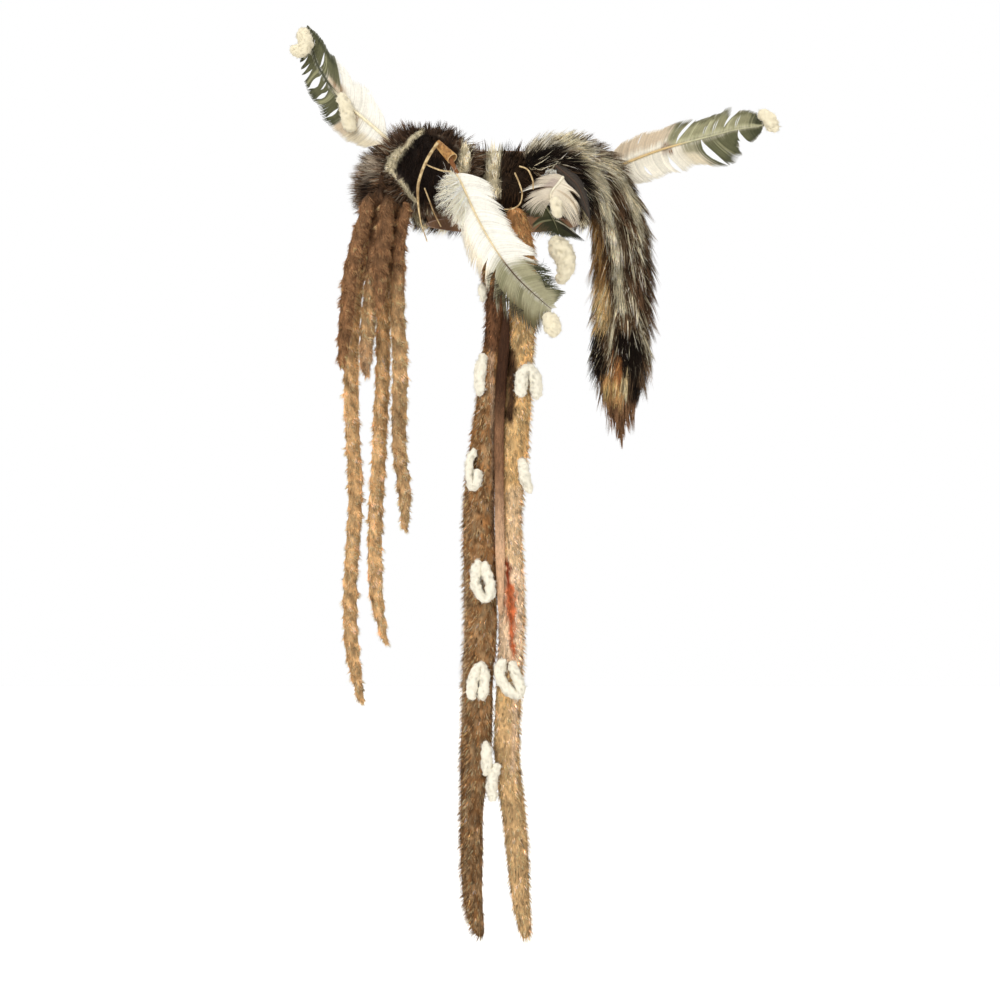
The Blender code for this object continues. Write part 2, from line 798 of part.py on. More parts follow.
def build_roving(name, strands, finish):
    """A soft rope of wool: round sections along a smooth curve, a little lumpy."""
    rows = between(strands, WOOL_SPACING)
    centres = centres_of(rows)
    rings = []
    for i, row in enumerate(rows):
        tangent = tangent_at(centres, i)
        side = tangent.cross(TOWARDS_VIEW).normalized()
        front = side.cross(tangent)
        radius = row.radius * (WOOL_THICK if i % 2 else WOOL_THIN)
        rings.append(round_section(centres[i], side, front, radius, WOOL_SIDES))
    solid_from_rings(name, rings, finish, bulge=strands[-1].radius * WOOL_END)


def build_socket():
    """The rolled tube: closed at its back end, with a blind bore at its mouth."""
    axis = (SOCKET_MOUTH - SOCKET_BACK).normalized()
    length = (SOCKET_MOUTH - SOCKET_BACK).length
    bore = SOCKET_RADIUS - SOCKET_WALL
    profile = (
        (0, SOCKET_RADIUS - SOCKET_ROUNDING),
        (SOCKET_ROUNDING, SOCKET_RADIUS),
        (length / 2, SOCKET_RADIUS - SOCKET_WAIST),
        (length - SOCKET_LIP, SOCKET_RADIUS),
        (length, SOCKET_RADIUS - SOCKET_WAIST),
        (length, bore + SOCKET_LIP / 4),
        (length - SOCKET_LIP, bore),
        (length - SOCKET_BORE_DEPTH, bore),
    )
    side = axis.cross(TOWARDS_VIEW).normalized()
    front = side.cross(axis)
    rings = [
        round_section(SOCKET_BACK + axis * along, side, front, radius, SOCKET_SIDES)
        for along, radius in profile
    ]
    solid_from_rings("socket_tube", rings, RAWHIDE)


def build_wrap():
    """The wrapped quill: a rod with a ridge for each turn of thread."""
    run = WRAP_END - WRAP_START
    side = run.cross(TOWARDS_VIEW).normalized()
    front = side.cross(run.normalized())
    sections = 2 * WRAP_TURNS
    rings = []
    for i in range(sections + 1):
        radius = WRAP_RADIUS - WRAP_GROOVE * (i % 2)
        centre = WRAP_START + run * (i / sections)
        rings.append(round_section(centre, side, front, radius, WRAP_SIDES))
    solid_from_rings("quill_wrap", rings, THREAD)


def build_thong(name, strands):
    """A thin thong as a round tube with filled ends, thinning along its run."""
    rows = laid(between(strands, THONG_SPACING), THONG_HOSTS[name])
    curve = bpy.data.curves.new(name, "CURVE")
    curve.dimensions = "3D"
    curve.bevel_depth = MM
    curve.bevel_resolution = 2
    curve.resolution_u = 1
    curve.render_resolution_u = 0
    curve.use_fill_caps = True
    run = curve.splines.new("POLY")
    run.points.add(len(rows) - 1)
    for point, row in zip(run.points, rows):
        point.co = (row.x * MM, row.y * MM, row.z * MM, 1)
        point.radius = row.radius
    curve.materials.append(material(THONG))
    bpy.context.collection.objects.link(bpy.data.objects.new(name, curve))


def build_furs():
    build_fur("left_fold", LEFT_FOLD, DARK_FUR, FOLD_HAIR, facing=away_from_ring)
    build_fur("right_pelt", RIGHT_PELT, PELT_FUR, PELT_HAIR)
    for number, bends in enumerate(DROPS, 1):
        build_fur(f"fur_drop_{number}", bends, DROP_FUR, DROP_HAIR)
    build_fur("fur_strip_left", STRIP_LEFT, BROWN_FUR, STRIP_HAIR)
    build_fur("fur_strip_right", STRIP_RIGHT, STRAW_FUR, STRIP_HAIR)
    build_fur("hide_fold", HIDE_FOLD, VELVET_HIDE, SMOOTH_HIDE)
    rest(["right_pelt"], ["band_fur"], BACKWARDS)
    rest(["fur_strip_left", "fur_strip_right"], ["band_fur"], BACKWARDS)
    rest(["hide_fold"], ["band_fur", "fur_strip_left", "fur_strip_right"], BACKWARDS)
    rest(["fur_drop_1"], ["left_fold"], UP)
    rest(["fur_drop_4"], ["left_fold"], UP)
    rest(["fur_drop_5"], ["left_fold", "fur_drop_4"], UP)
    rest(["fur_drop_6"], ["left_fold", "fur_drop_4", "fur_drop_5"], BACKWARDS)
    rest(["fur_drop_2"], ["left_fold", "fur_drop_1", "fur_drop_4"], BACKWARDS)
    rest(["fur_drop_3"], ["left_fold", "fur_drop_4", "fur_drop_5", "fur_drop_6"], BACKWARDS)


def build_feathers():
    build_feather("feather_upper_left", FEATHER_UPPER_LEFT, WHITE_FEATHER)
    build_feather("feather_right", FEATHER_RIGHT, WHITE_FEATHER)
    build_feather("feather_hanging", FEATHER_HANGING, WHITE_FEATHER)
    build_feather("feather_pale", FEATHER_PALE, WHITE_FEATHER)
    build_feather("feather_olive", FEATHER_OLIVE, OLIVE_FEATHER)
    build_feather("feather_grey", FEATHER_GREY, GREY_FEATHER)
    build_socket()
    build_wrap()
    behind = ["band_fur", "left_fold", "right_pelt", "fur_strip_left", "fur_strip_right"]
    rest(["feather_upper_left"], ["left_fold"], BACKWARDS)
    rest(["feather_grey"], behind, BACKWARDS)
    rest(["feather_olive"], behind + ["feather_grey"], BACKWARDS)
    rest(["feather_pale"], behind + ["feather_grey", "feather_olive"], BACKWARDS)
    rest(["feather_hanging", "quill_wrap", "socket_tube"], behind, BACKWARDS)


def build_wool():
    for name, strands in WOOL.items():
        build_roving(name, strands, CREAM_WOOL)
    for number, strands in enumerate(TIES, 1):
        build_roving(f"wool_tie_{number}", strands, WHITE_WOOL)
    for name, hosts, way in WOOL_RESTS:
        rest([name], hosts, way)
    rest(["feather_right", "wool_tuft_right"], ["right_pelt"], TOWARDS_VIEW)


def build_thongs():
    for name, strands in THONGS.items():
        build_thong(name, strands)


def build_headdress():
    clear_scene()
    build_ring()
    build_band_fur()
    build_furs()
    build_feathers()
    build_wool()
    build_thongs()


build_headdress()
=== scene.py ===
"""Looks of the feathered headdress: hair on every fur piece, barbed feathers, wool, hide and
thongs. Worked out in millimetres and built in metres, in the frame of the CAD part."""

from collections import namedtuple
from math import cos, pi, radians, sin, tau

import bpy
import numpy as np
from mathutils import Matrix, Vector, noise
from mathutils.bvhtree import BVHTree
from mathutils.kdtree import KDTree


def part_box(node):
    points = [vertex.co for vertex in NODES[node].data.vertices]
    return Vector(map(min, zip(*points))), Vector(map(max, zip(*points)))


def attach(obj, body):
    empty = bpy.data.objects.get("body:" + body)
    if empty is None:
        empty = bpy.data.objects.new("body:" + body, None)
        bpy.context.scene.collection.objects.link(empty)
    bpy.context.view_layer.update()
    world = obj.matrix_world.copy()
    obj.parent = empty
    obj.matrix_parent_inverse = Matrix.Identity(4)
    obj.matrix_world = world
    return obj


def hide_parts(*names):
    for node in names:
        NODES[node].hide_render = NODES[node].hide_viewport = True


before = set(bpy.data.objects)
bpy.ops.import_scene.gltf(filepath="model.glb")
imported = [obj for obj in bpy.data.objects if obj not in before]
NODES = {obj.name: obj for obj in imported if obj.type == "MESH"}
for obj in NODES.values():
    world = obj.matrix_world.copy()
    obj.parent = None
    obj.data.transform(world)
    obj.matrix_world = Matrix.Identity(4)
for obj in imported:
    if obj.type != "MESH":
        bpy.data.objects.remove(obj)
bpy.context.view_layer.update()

MM = 0.001
UP = np.array((0.0, 0.0, 1.0))
DOWN = -UP
FORWARD = np.array((0.0, -1.0, 0.0))  # towards the side on which the strips hang


# ---------------------------------------------------------------- camera, floor and lights

CAMERA_DISTANCE = 3.0  # from the plane of the strips
FRAME_WIDTH = 1.1  # what the camera takes in at that plane
STRIP_PLANE = -0.13
AIM = (-0.0022, -0.352)
FLOOR_Z = -0.98
FLOOR_HALF = 6.0
WALL_WHITE = (1.0, 0.955, 0.89)
ROOM_STRENGTH = 0.45
SUNS = (  # name, the way to where it stands, strength, and how wide it looks in degrees
    ("key", (-0.5, -1, 0.7), 1.7, 35),
    ("fill", (0.8, -0.8, 0.1), 0.55, 60),
    ("top", (0, 0.1, 1), 1.25, 60),
    ("back", (0.2, 1, 0.4), 1.3, 60),
)


def srgb(red, green, blue):
    """A colour in the 0 to 255 values of a screen, as the linear values that shaders take."""
    parts = [v / 255 for v in (red, green, blue)]
    return tuple(v / 12.92 if v <= 0.04045 else ((v + 0.055) / 1.055) ** 2.4 for v in parts)


def tone(root, tip):
    """The colours of a hair at its root and at its tip."""
    return srgb(*root), srgb(*tip)


def deselect():
    bpy.ops.object.select_all(action="DESELECT")


def added(name, data):
    """A new object in the scene."""
    made = bpy.data.objects.new(name, data)
    bpy.context.scene.collection.objects.link(made)
    return made


def place_camera():
    data = bpy.data.cameras.new("view")
    data.lens = data.sensor_width * CAMERA_DISTANCE / FRAME_WIDTH
    camera = added("view", data)
    camera.location = (AIM[0], STRIP_PLANE - CAMERA_DISTANCE, AIM[1])
    camera.rotation_euler = (pi / 2, 0, 0)
    bpy.context.scene.camera = camera


def soft_sun(name, way, strength, spread):
    """A soft light from far off."""
    data = bpy.data.lights.new(name, "SUN")
    data.energy = strength
    data.angle = radians(spread)
    light = added(name, data)
    light.rotation_euler = (-Vector(way)).to_track_quat("-Z", "Y").to_euler()


def light_room():
    """White all round, which lights the piece less than the camera sees it, and the suns."""
    world = bpy.data.worlds.new("studio")
    bpy.context.scene.world = world
    world.use_nodes = True
    nodes, links = world.node_tree.nodes, world.node_tree.links
    lit = nodes["Background"]
    lit.inputs["Color"].default_value = (*WALL_WHITE, 1)
    lit.inputs["Strength"].default_value = ROOM_STRENGTH
    seen = nodes.new("ShaderNodeBackground")
    seen.inputs["Color"].default_value = (1, 1, 1, 1)
    mix = nodes.new("ShaderNodeMixShader")
    links.new(nodes.new("ShaderNodeLightPath").outputs["Is Camera Ray"], mix.inputs["Fac"])
    links.new(lit.outputs["Background"], mix.inputs[1])
    links.new(seen.outputs["Background"], mix.inputs[2])
    links.new(mix.outputs["Shader"], nodes["World Output"].inputs["Surface"])
    for sun in SUNS:
        soft_sun(*sun)
    bpy.context.scene.view_settings.view_transform = "Standard"


# ---------------------------------------------------------------- finishes

COAT_COLOUR = "coat"  # the attribute with a colour for each point, and how far along it is
NOISE_ROUGHNESS = 0.55


class Value:
    """A shader socket that can stand in sums. Numbers and other values may stand beside it."""

    def __init__(self, finish, socket):
        self.finish = finish
        self.socket = socket

    def sum(self, operation, *terms):
        return self.finish.node(
            "ShaderNodeMath", {"operation": operation}, dict(enumerate(terms))
        )

    def __add__(self, other):
        return self.sum("ADD", self, other)

    def __radd__(self, other):
        return self.sum("ADD", other, self)

    def __sub__(self, other):
        return self.sum("SUBTRACT", self, other)

    def __rsub__(self, other):
        return self.sum("SUBTRACT", other, self)

    def __mul__(self, other):
        return self.sum("MULTIPLY", self, other)

    def __rmul__(self, other):
        return self.sum("MULTIPLY", other, self)


class Finish:
    """One material. Its constant values sit on the shader's own sockets."""

    def __init__(self, name, **constants):
        self.material = bpy.data.materials.new(name)
        self.material.use_nodes = True
        self.tree = self.material.node_tree
        self.shader = self.tree.nodes["Principled BSDF"]
        self.shader.inputs["Metallic"].default_value = 0
        for socket, value in constants.items():
            self.put(self.shader.inputs[socket.replace("_", " ")], value)

    def put(self, socket, value):
        """Set a socket, or link it."""
        if isinstance(value, Value):
            self.tree.links.new(value.socket, socket)
        elif socket.type == "RGBA":
            socket.default_value = (*value, 1)
        else:
            socket.default_value = value

    def node(self, kind, settings=None, inputs=None, out=0):
        """Any node: its settings first, then what its sockets hold."""
        made = self.tree.nodes.new(kind)
        for name, value in (settings or {}).items():
            setattr(made, name, value)
        for socket, value in (inputs or {}).items():
            self.put(made.inputs[socket], value)
        return Value(self, made.outputs[out])

    def place(self, scale=(1, 1, 1)):
        """Object coordinates, stretched."""
        coordinates = self.node("ShaderNodeTexCoord", out="Object")
        return self.node(
            "ShaderNodeMapping",
            {"vector_type": "TEXTURE"},
            {"Vector": coordinates, "Scale": tuple(1 / s for s in scale)},
        )

    def noise(self, scale, detail=3, at=None):
        return self.node(
            "ShaderNodeTexNoise",
            {},
            {
                "Vector": at or self.place(),
                "Scale": scale,
                "Detail": detail,
                "Roughness": NOISE_ROUGHNESS,
            },
        )

    def range(self, value, low, high, to_low=0.0, to_high=1.0):
        """A value's stretch from low to high, as one from to_low to to_high, smoothly."""
        return self.node(
            "ShaderNodeMapRange",
            {"interpolation_type": "SMOOTHSTEP"},
            {0: value, 1: low, 2: high, 3: to_low, 4: to_high},
        )

    def mix(self, share, first, second):
        """Two colours, with this share of the second."""
        return self.node(
            "ShaderNodeMix", {"data_type": "RGBA"}, {0: share, 6: first, 7: second}, out=2
        )

    def scaled(self, colour, factor):
        """A colour made lighter or darker."""
        return self.node(
            "ShaderNodeVectorMath", {"operation": "SCALE"}, {"Vector": colour, "Scale": factor}
        )

    def painted(self, out="Color"):
        """The colour that a piece's own points carry or, as Alpha, how far along each is."""
        return self.node("ShaderNodeAttribute", {"attribute_name": COAT_COLOUR}, out=out)

    def bump(self, height, distance, strength=1.0):
        normal = self.node(
            "ShaderNodeBump", {}, {"Height": height, "Distance": distance, "Strength": strength}
        )
        self.put(self.shader.inputs["Normal"], normal)

    def colour(self, value):
        self.put(self.shader.inputs["Base Color"], value)

    def roughness(self, value):
        self.put(self.shader.inputs["Roughness"], value)


def floor_finish():
    paper = Finish("white_paper", Roughness=0.9)
    tint = paper.noise(1.5)
    paper.colour(paper.mix(tint, (0.90, 0.90, 0.895), (0.94, 0.94, 0.935)))
    return paper.material


def thong_finish():
    hide = Finish("thong_hide", Roughness=0.6)
    mottle = hide.noise(170, detail=4)
    grain = hide.noise(900, detail=3, at=hide.place((1, 1, 0.3)))
    worn = hide.mix(hide.range(mottle, 0.35, 0.7), srgb(150, 120, 78), srgb(226, 202, 152))
    hide.colour(hide.mix(hide.range(grain, 0.62, 0.75) * 0.5, worn, srgb(112, 84, 50)))
    hide.roughness(hide.range(mottle, 0.3, 0.7, 0.5, 0.75))
    hide.bump(grain + mottle * 0.5, 0.0003)
    return hide.material


# ---------------------------------------------------------------- thongs

# The thongs' routes, as (x, y, z, radius) in mm, before they are moved to the depth of their
# solids.
THONGS = {
    "thong_long": (
        (-70, -169, 36, 1.7), (-79, -161, 24, 1.8), (-88, -152, 6, 1.6), (-92, -148, -9, 1.7),
        (-92, -146, -24, 1.3), (-89, -146, -47, 0.7), (-82, -147, -69, 0.6),
    ),
    "thong_pair": (
        (-55, -167, 6, 0.9), (-64, -164, 7, 1.0), (-73, -161, 10, 0.9), (-85, -156, 16, 0.7),
    ),
    "thong_string": (
        (-85, -164, -10, 0.8), (-81, -162, -20, 0.8), (-75, -161, -36, 0.7), (-67, -160, -52, 0.7),
    ),
    "thong_right": (
        (14, -150, 6, 0.9), (19, -152, -6, 0.9), (22, -154, -18, 0.8), (19, -154, -29, 0.8),
        (10, -152, -34, 0.8), (2, -150, -34, 0.7),
    ),
    "thong_knot": (
        (19, -150, 14, 0.9), (27, -152, 11, 0.9), (33, -155, 0, 0.9), (34, -168, -13, 0.8),
    ),
}
THONG_SPACING = 3  # between the points of a thong's run, in mm
THONG_ROUNDNESS = 3


def distances_along(rows):
    steps = np.linalg.norm(np.diff(rows[:, :3], axis=0), axis=1)
    return np.concatenate([[0.0], np.cumsum(steps)])


def rows_at(table, places):
    """Rows at these distances along the smooth curve through a table's rows."""
    rows = np.array(table, float)
    along = distances_along(rows)
    slopes = np.gradient(rows, along, axis=0)
    places = np.clip(np.atleast_1d(places), 0, along[-1])
    i = np.clip(np.searchsorted(along, places, side="right") - 1, 0, len(along) - 2)
    step = (along[i + 1] - along[i])[:, None]
    u = (places - along[i])[:, None] / step
    return (
        (2 * u**3 - 3 * u**2 + 1) * rows[i]
        + (u**3 - 2 * u**2 + u) * step * slopes[i]
        + (3 * u**2 - 2 * u**3) * rows[i + 1]
        + (u**3 - u**2) * step * slopes[i + 1]
    )


def lay_thongs():
    finish = thong_finish()
    for node, table in THONGS.items():
        length = distances_along(np.array(table, float))[-1]
        rows = rows_at(table, np.linspace(0, length, round(length / THONG_SPACING) + 1))
        low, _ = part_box(node)
        rows[:, 1] += low.y / MM - (rows[:, 1] - rows[:, 3]).min()
        widest = rows[:, 3].max()
        data = bpy.data.curves.new(node + "_hide", "CURVE")
        data.dimensions = "3D"
        data.bevel_depth = widest * MM
        data.bevel_resolution = THONG_ROUNDNESS
        data.use_fill_caps = True
        run = data.splines.new("POLY")
        run.points.add(len(rows) - 1)
        for point, (x, y, z, radius) in zip(run.points, rows):
            point.co = (x * MM, y * MM, z * MM, 1)
            point.radius = radius / widest
        data.materials.append(finish)
        thong = added(node + "_hide", data)
        settle(thong, node)
        tuple(rows[0, :3] * MM)
        2 * widest * MM


# ---------------------------------------------------------------- hair

# A coat of hair: how many hairs, their shortest and longest, the width at the root, how far
# they stand off the skin at root and at tip in degrees, how much they stray, and how they
# gather: the distance between tufts and the share by which the tips draw together.
Coat = namedtuple("Coat", "count short long width lift tip_lift stray tuft_size gather")
HAIR_SIDES = 3
HAIR_FLATNESS = 0.5
HAIR_TAPER = 0.75  # how much of its width a hair loses before its tip
ROOT_DEPTH = 0.8
OWN_STRAY, SHARED_STRAY = 0.6, 0.9  # how much hairs stray singly, and how much with their tuft
TUFT_REACH = 1.5  # how far from its leader a hair is still drawn in, in tuft sizes
FEWEST_TUFTS, TUFT_HAIRS = 8, 12
TUFT_TONE = 0.26  # how much tufts differ in lightness
# The skin under the hair is darkened: painted shade beneath the coat.
SKIN_PAINTED_SHADE, SKIN_TIP_SHARE = 0.6, 0.25  # the skin's colour, as shares of the hair's
BRIGHTEST = 0.95  # of any hair or strand
MERGE = 0.00001  # points closer than this are one


def mode(name):
    bpy.ops.object.mode_set(mode=name)


def edit_all():
    """Edit mode on, with everything in the mesh selected."""
    mode("EDIT")
    bpy.ops.mesh.select_all(action="SELECT")


def copy_of(node, name, rounds):
    """A copy of a CAD piece as one joined and evened mesh."""
    deselect()
    made = added(name, NODES[node].data.copy())
    made.data.materials.clear()
    made.select_set(True)
    bpy.context.view_layer.objects.active = made
    edit_all()
    bpy.ops.mesh.remove_doubles(threshold=MERGE)
    bpy.ops.mesh.vertices_smooth(factor=0.5, repeat=rounds)
    mode("OBJECT")
    return made


def subdivided(piece, levels):
    finer = piece.modifiers.new("finer", "SUBSURF")
    finer.levels = finer.render_levels = levels
    bpy.context.view_layer.objects.active = piece
    bpy.ops.object.modifier_apply(modifier=finer.name)


class Skin:
    """The points in mm, the triangles and the normals of a fur piece's hide."""

    def __init__(self, piece):
        mesh = piece.data
        mesh.calc_loop_triangles()
        self.points = read(mesh.vertices, "co", 3) / MM
        self.normals = read(mesh.vertices, "normal", 3)
        self.faces = read(mesh.loop_triangles, "vertices", 3, int)

    def sunk(self, depth):
        """Moves the skin in, by a number or by one for each point."""
        self.points -= self.normals * np.reshape(depth, (-1, 1))

    def double_areas(self):
        corners = self.points[self.faces]
        cross = np.cross(corners[:, 1] - corners[:, 0], corners[:, 2] - corners[:, 0])
        return np.linalg.norm(cross, axis=1)

    def roots(self, count, rng, keep=None):
        """Evenly spread places with the normals there. `keep` says where how much hair grows."""
        corners = self.points[self.faces]
        areas = self.double_areas()
        if keep:
            middles = corners.mean(axis=1)
            areas *= keep(middles, self.normals[self.faces].mean(axis=1))
        chosen = rng.choice(len(areas), count, p=areas / areas.sum())
        u, v = rng.random(count), rng.random(count)
        flip = u + v > 1
        u[flip], v[flip] = 1 - u[flip], 1 - v[flip]
        shares = np.stack([1 - u - v, u, v], axis=1)[:, :, None]
        places = (corners[chosen] * shares).sum(axis=1)
        normals = unit((self.normals[self.faces[chosen]] * shares).sum(axis=1))
        return places, normals


def read(items, name, width, kind=float):
    values = np.empty(len(items) * width, np.int32 if kind is int else np.float32)
    items.foreach_get(name, values)
    return values.reshape(-1, width).astype(kind)


def unit(vectors):
    return vectors / np.maximum(np.linalg.norm(vectors, axis=-1, keepdims=True), 1e-9)


def search_tree(node):
    mesh = NODES[node].data
    return BVHTree.FromPolygons(
        [v.co.copy() for v in mesh.vertices], [p.vertices[:] for p in mesh.polygons]
    )


def skin_of(node, rounds=4, levels=1, sink=2.0):
    """A fur piece's evened surface, on average `sink` mm inside its solid's."""
    made = copy_of(node, node + "_skin", rounds)
    subdivided(made, levels)
    skin = Skin(made)
    bpy.data.objects.remove(made)
    tree = search_tree(node)
    shrunk = []
    for point, normal in zip(skin.points, skin.normals):
        near, _, _, off = tree.find_nearest(Vector(point) * MM)
        outward = (near - Vector(point) * MM).dot(Vector(normal)) > 0
        shrunk.append(off if outward else -off)
    skin.sunk(sink - np.mean(shrunk) / MM)
    return skin


def tufts(places, rng, hairs_each=TUFT_HAIRS):
    """For each place, the number of the hair that leads its tuft."""
    count = max(FEWEST_TUFTS, len(places) // hairs_each)
    leaders = rng.choice(len(places), min(count, len(places)), replace=False)
    tree = KDTree(len(leaders))
    for leader in leaders:
        tree.insert(places[leader], int(leader))
    tree.balance()
    return np.array([tree.find(place)[1] for place in places])


def grow(places, normals, coat, lay, rng, leads, joints=3, scale=1.0):
    """The paths of hairs from these roots, as (hair, joint, xyz). `lay` is the way they lie,
    and `leads` gives the leader of each hair's tuft."""
    count = len(places)
    lay = unit(lay)
    along = unit(lay - normals * np.minimum((lay * normals).sum(axis=1, keepdims=True), 0))
    shared = rng.normal(size=(count, 3))[leads]
    own = rng.normal(size=(count, 3))
    stray = (own * OWN_STRAY + shared * SHARED_STRAY) * coat.stray
    length = rng.uniform(coat.short, coat.long, count) * scale
    path = [places - normals * ROOT_DEPTH]
    for k in range(1, joints):
        share = (k - 0.5) / (joints - 1)
        angle = np.radians(coat.lift + (coat.tip_lift - coat.lift) * share)
        way = unit(along * np.cos(angle) + normals * np.sin(angle) + stray * (0.5 + share))
        path.append(path[-1] + way * (length / (joints - 1))[:, None])
    path = np.stack(path, axis=1)
    near = np.linalg.norm(places[leads] - places, axis=1)
    pull = coat.gather * np.clip(TUFT_REACH - near / coat.tuft_size, 0, 1)
    for k in range(1, joints):
        drawn = (pull * (k / (joints - 1)) ** 1.3)[:, None]
        path[:, k] += (path[leads, k] - path[:, k]) * drawn
    return path


def hairs(path, normals, width):
    """Closed tapering spikes along paths: their points, their triangles, and how far along the
    hair each point is."""
    count, joints, _ = path.shape
    width = np.broadcast_to(width, count)
    rings, shares = [], []
    turns = [tau * (0.25 + j / HAIR_SIDES) for j in range(HAIR_SIDES)]
    for k in range(joints - 1):
        way = unit(path[:, k + 1] - path[:, max(k - 1, 0)])
        side = unit(np.cross(way, normals))
        face = np.cross(way, side)
        half = (width / 2 * (1 - HAIR_TAPER * (k / (joints - 1)) ** 2))[:, None]
        for turn in turns:
            rings.append(
                path[:, k] + side * half * cos(turn) + face * half * HAIR_FLATNESS * sin(turn)
            )
            shares.append(k / (joints - 1))
    rings.append(path[:, -1])
    shares.append(1.0)
    points = np.stack(rings, axis=1)
    faces = [(2, 1, 0)]
    for k in range(joints - 2):
        for j in range(HAIR_SIDES):
            a, b = k * HAIR_SIDES + j, k * HAIR_SIDES + (j + 1) % HAIR_SIDES
            c, d = b + HAIR_SIDES, a + HAIR_SIDES
            faces += [(a, b, c), (a, c, d)]
    last, tip = (joints - 2) * HAIR_SIDES, (joints - 1) * HAIR_SIDES
    faces += [(last + j, last + (j + 1) % HAIR_SIDES, tip) for j in range(HAIR_SIDES)]
    size = points.shape[1]
    starts = (np.arange(count) * size)[:, None, None]
    faces = (np.array(faces)[None] + starts).reshape(-1, 3)
    return points.reshape(-1, 3), faces, np.tile(shares, count)


def hair_colours(roots, tips, shares, power=1.5):
    """Each hair's colour from root to tip, with how far along it in the fourth place."""
    size = len(shares) // len(roots)
    mix = (shares**power)[:, None]
    colours = np.repeat(roots, size, axis=0) * (1 - mix) + np.repeat(tips, size, axis=0) * mix
    return np.column_stack([colours, shares])


def piece_of(name, parts, finishes):
    """One object from (points in mm, triangles, colours, finish number) parts."""
    points, faces, colours, slots = [], [], [], []
    first = 0
    for part_points, part_faces, part_colours, slot in parts:
        points.append(part_points)
        faces.append(part_faces + first)
        colours.append(part_colours)
        slots.append(np.full(len(part_faces), slot))
        first += len(part_points)
    points, faces = np.concatenate(points) * MM, np.concatenate(faces)
    mesh = bpy.data.meshes.new(name)
    mesh.vertices.add(len(points))
    mesh.vertices.foreach_set("co", points.astype(np.float32).ravel())
    mesh.loops.add(faces.size)
    mesh.loops.foreach_set("vertex_index", faces.astype(np.int32).ravel())
    mesh.polygons.add(len(faces))
    mesh.polygons.foreach_set("loop_start", np.arange(0, faces.size, 3, dtype=np.int32))
    mesh.polygons.foreach_set("material_index", np.concatenate(slots).astype(np.int32))
    coat = mesh.attributes.new(COAT_COLOUR, "FLOAT_COLOR", "POINT")
    coat.data.foreach_set("color", np.concatenate(colours).astype(np.float32).ravel())
    mesh.update(calc_edges=True)
    mesh.shade_smooth()
    for finish in finishes:
        mesh.materials.append(finish)
    return added(name, mesh)


def settle(piece, node):
    """A finished piece rides on the headdress, and stands for its CAD node."""
    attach(piece, "root")
    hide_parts(node)


# ---------------------------------------------------------------- colour by place

# A streak of colour seen from the front: its tone, half its width, how soft its edge is, and
# the (x, z) points that it follows.
Streak = namedtuple("Streak", "tone half soft line")


def nearest_on(line, x, z):
    """How far (x, z) places are from a line, and the direction of the line there."""
    best = np.full(len(x), np.inf)
    way = np.zeros((len(x), 2))
    for (x0, z0), (x1, z1) in zip(line, line[1:]):
        run = np.array((x1 - x0, z1 - z0), float)
        share = np.clip(((x - x0) * run[0] + (z - z0) * run[1]) / (run @ run), 0, 1)
        off = np.hypot(x - x0 - share * run[0], z - z0 - share * run[1])
        closer = off < best
        best[closer] = off[closer]
        way[closer] = run / np.linalg.norm(run)
    return best, way


def step(value, low, high):
    """0 below low and 1 above high, smoothly. Low may be the greater."""
    share = np.clip((value - low) / (high - low), 0, 1)
    return share * share * (3 - 2 * share)


def blend(first, second, share):
    share = np.reshape(share, (-1, 1))
    return first * (1 - share) + np.asarray(second) * share


def all_of(pair, count):
    """The root and the tip colours of this many hairs of one tone."""
    return np.tile(pair[0], (count, 1)), np.tile(pair[1], (count, 1))


def toned(roots, tips, pair, share):
    """Root and tip colours with this share of another tone."""
    return blend(roots, pair[0], share), blend(tips, pair[1], share)


def streaked(places, roots, tips, streaks, rng, ragged=1.5, front=1.0):
    """Lays streaks over root and tip colours, each over the ones before it."""
    x = places[:, 0] + rng.normal(size=len(places)) * ragged
    z = places[:, 2] + rng.normal(size=len(places)) * ragged
    for streak in map(Streak._make, streaks):
        off, _ = nearest_on(streak.line, x, z)
        share = step(off, streak.half + streak.soft, streak.half - streak.soft) * front
        roots, tips = toned(roots, tips, streak.tone, share)
    return roots, tips


def mottled(colours, rng, amount):
    """Colours made a little lighter or darker, hair by hair."""
    return colours * np.exp(rng.normal(size=(len(colours), 1)) * amount)


def fur_finish(name, roughness, fuzz):
    """Hair that carries its own colour, uneven and streaked as it falls, glossier to the tip."""
    fur = Finish(name, Sheen_Weight=fuzz, Sheen_Roughness=0.4, Specular_IOR_Level=0.1)
    coat, along = fur.painted(), fur.painted("Alpha")
    patchy = fur.noise(60, detail=4)
    fine = fur.noise(700, detail=3)
    falling = fur.noise(850, detail=3, at=fur.place((1, 1, 0.2)))
    shade = fur.range(patchy, 0.3, 0.7, 0.84, 1.12) * fur.range(fine, 0.3, 0.7, 0.9, 1.1)
    shade = shade * fur.range(falling, 0.36, 0.64, 0.8, 1.2)
    fur.colour(fur.scaled(coat, shade))
    fur.roughness(roughness + 0.12 * fine - 0.1 * along)
    fur.bump(fine, 0.0004, 0.5)
    return fur.material


# ---------------------------------------------------------------- fur pieces

CREAM = tone((234, 217, 178), (255, 246, 214))
BLACK = tone((16, 10, 6), (40, 28, 19))
SABLE = tone((16, 10, 6), (92, 68, 47))
UMBER = tone((52, 34, 22), (124, 94, 68))
PALE_UMBER = tone((52, 34, 22), (206, 188, 164))
TIPPED_UMBER = tone((52, 34, 22), (134, 110, 82))
UMBER_BLACK = tone((16, 10, 6), (124, 94, 68))
DULL_BLACK = tone((16, 10, 6), (52, 34, 22))
POCKET_DARK = tone((20, 12, 8), (46, 32, 22))
GREY = tone((194, 182, 154), (255, 248, 230))
OCHRE = tone((120, 86, 50), (196, 154, 98))
TAN = tone((236, 186, 122), (255, 228, 172))
TAIL_BROWN = tone((104, 74, 50), (172, 130, 94))

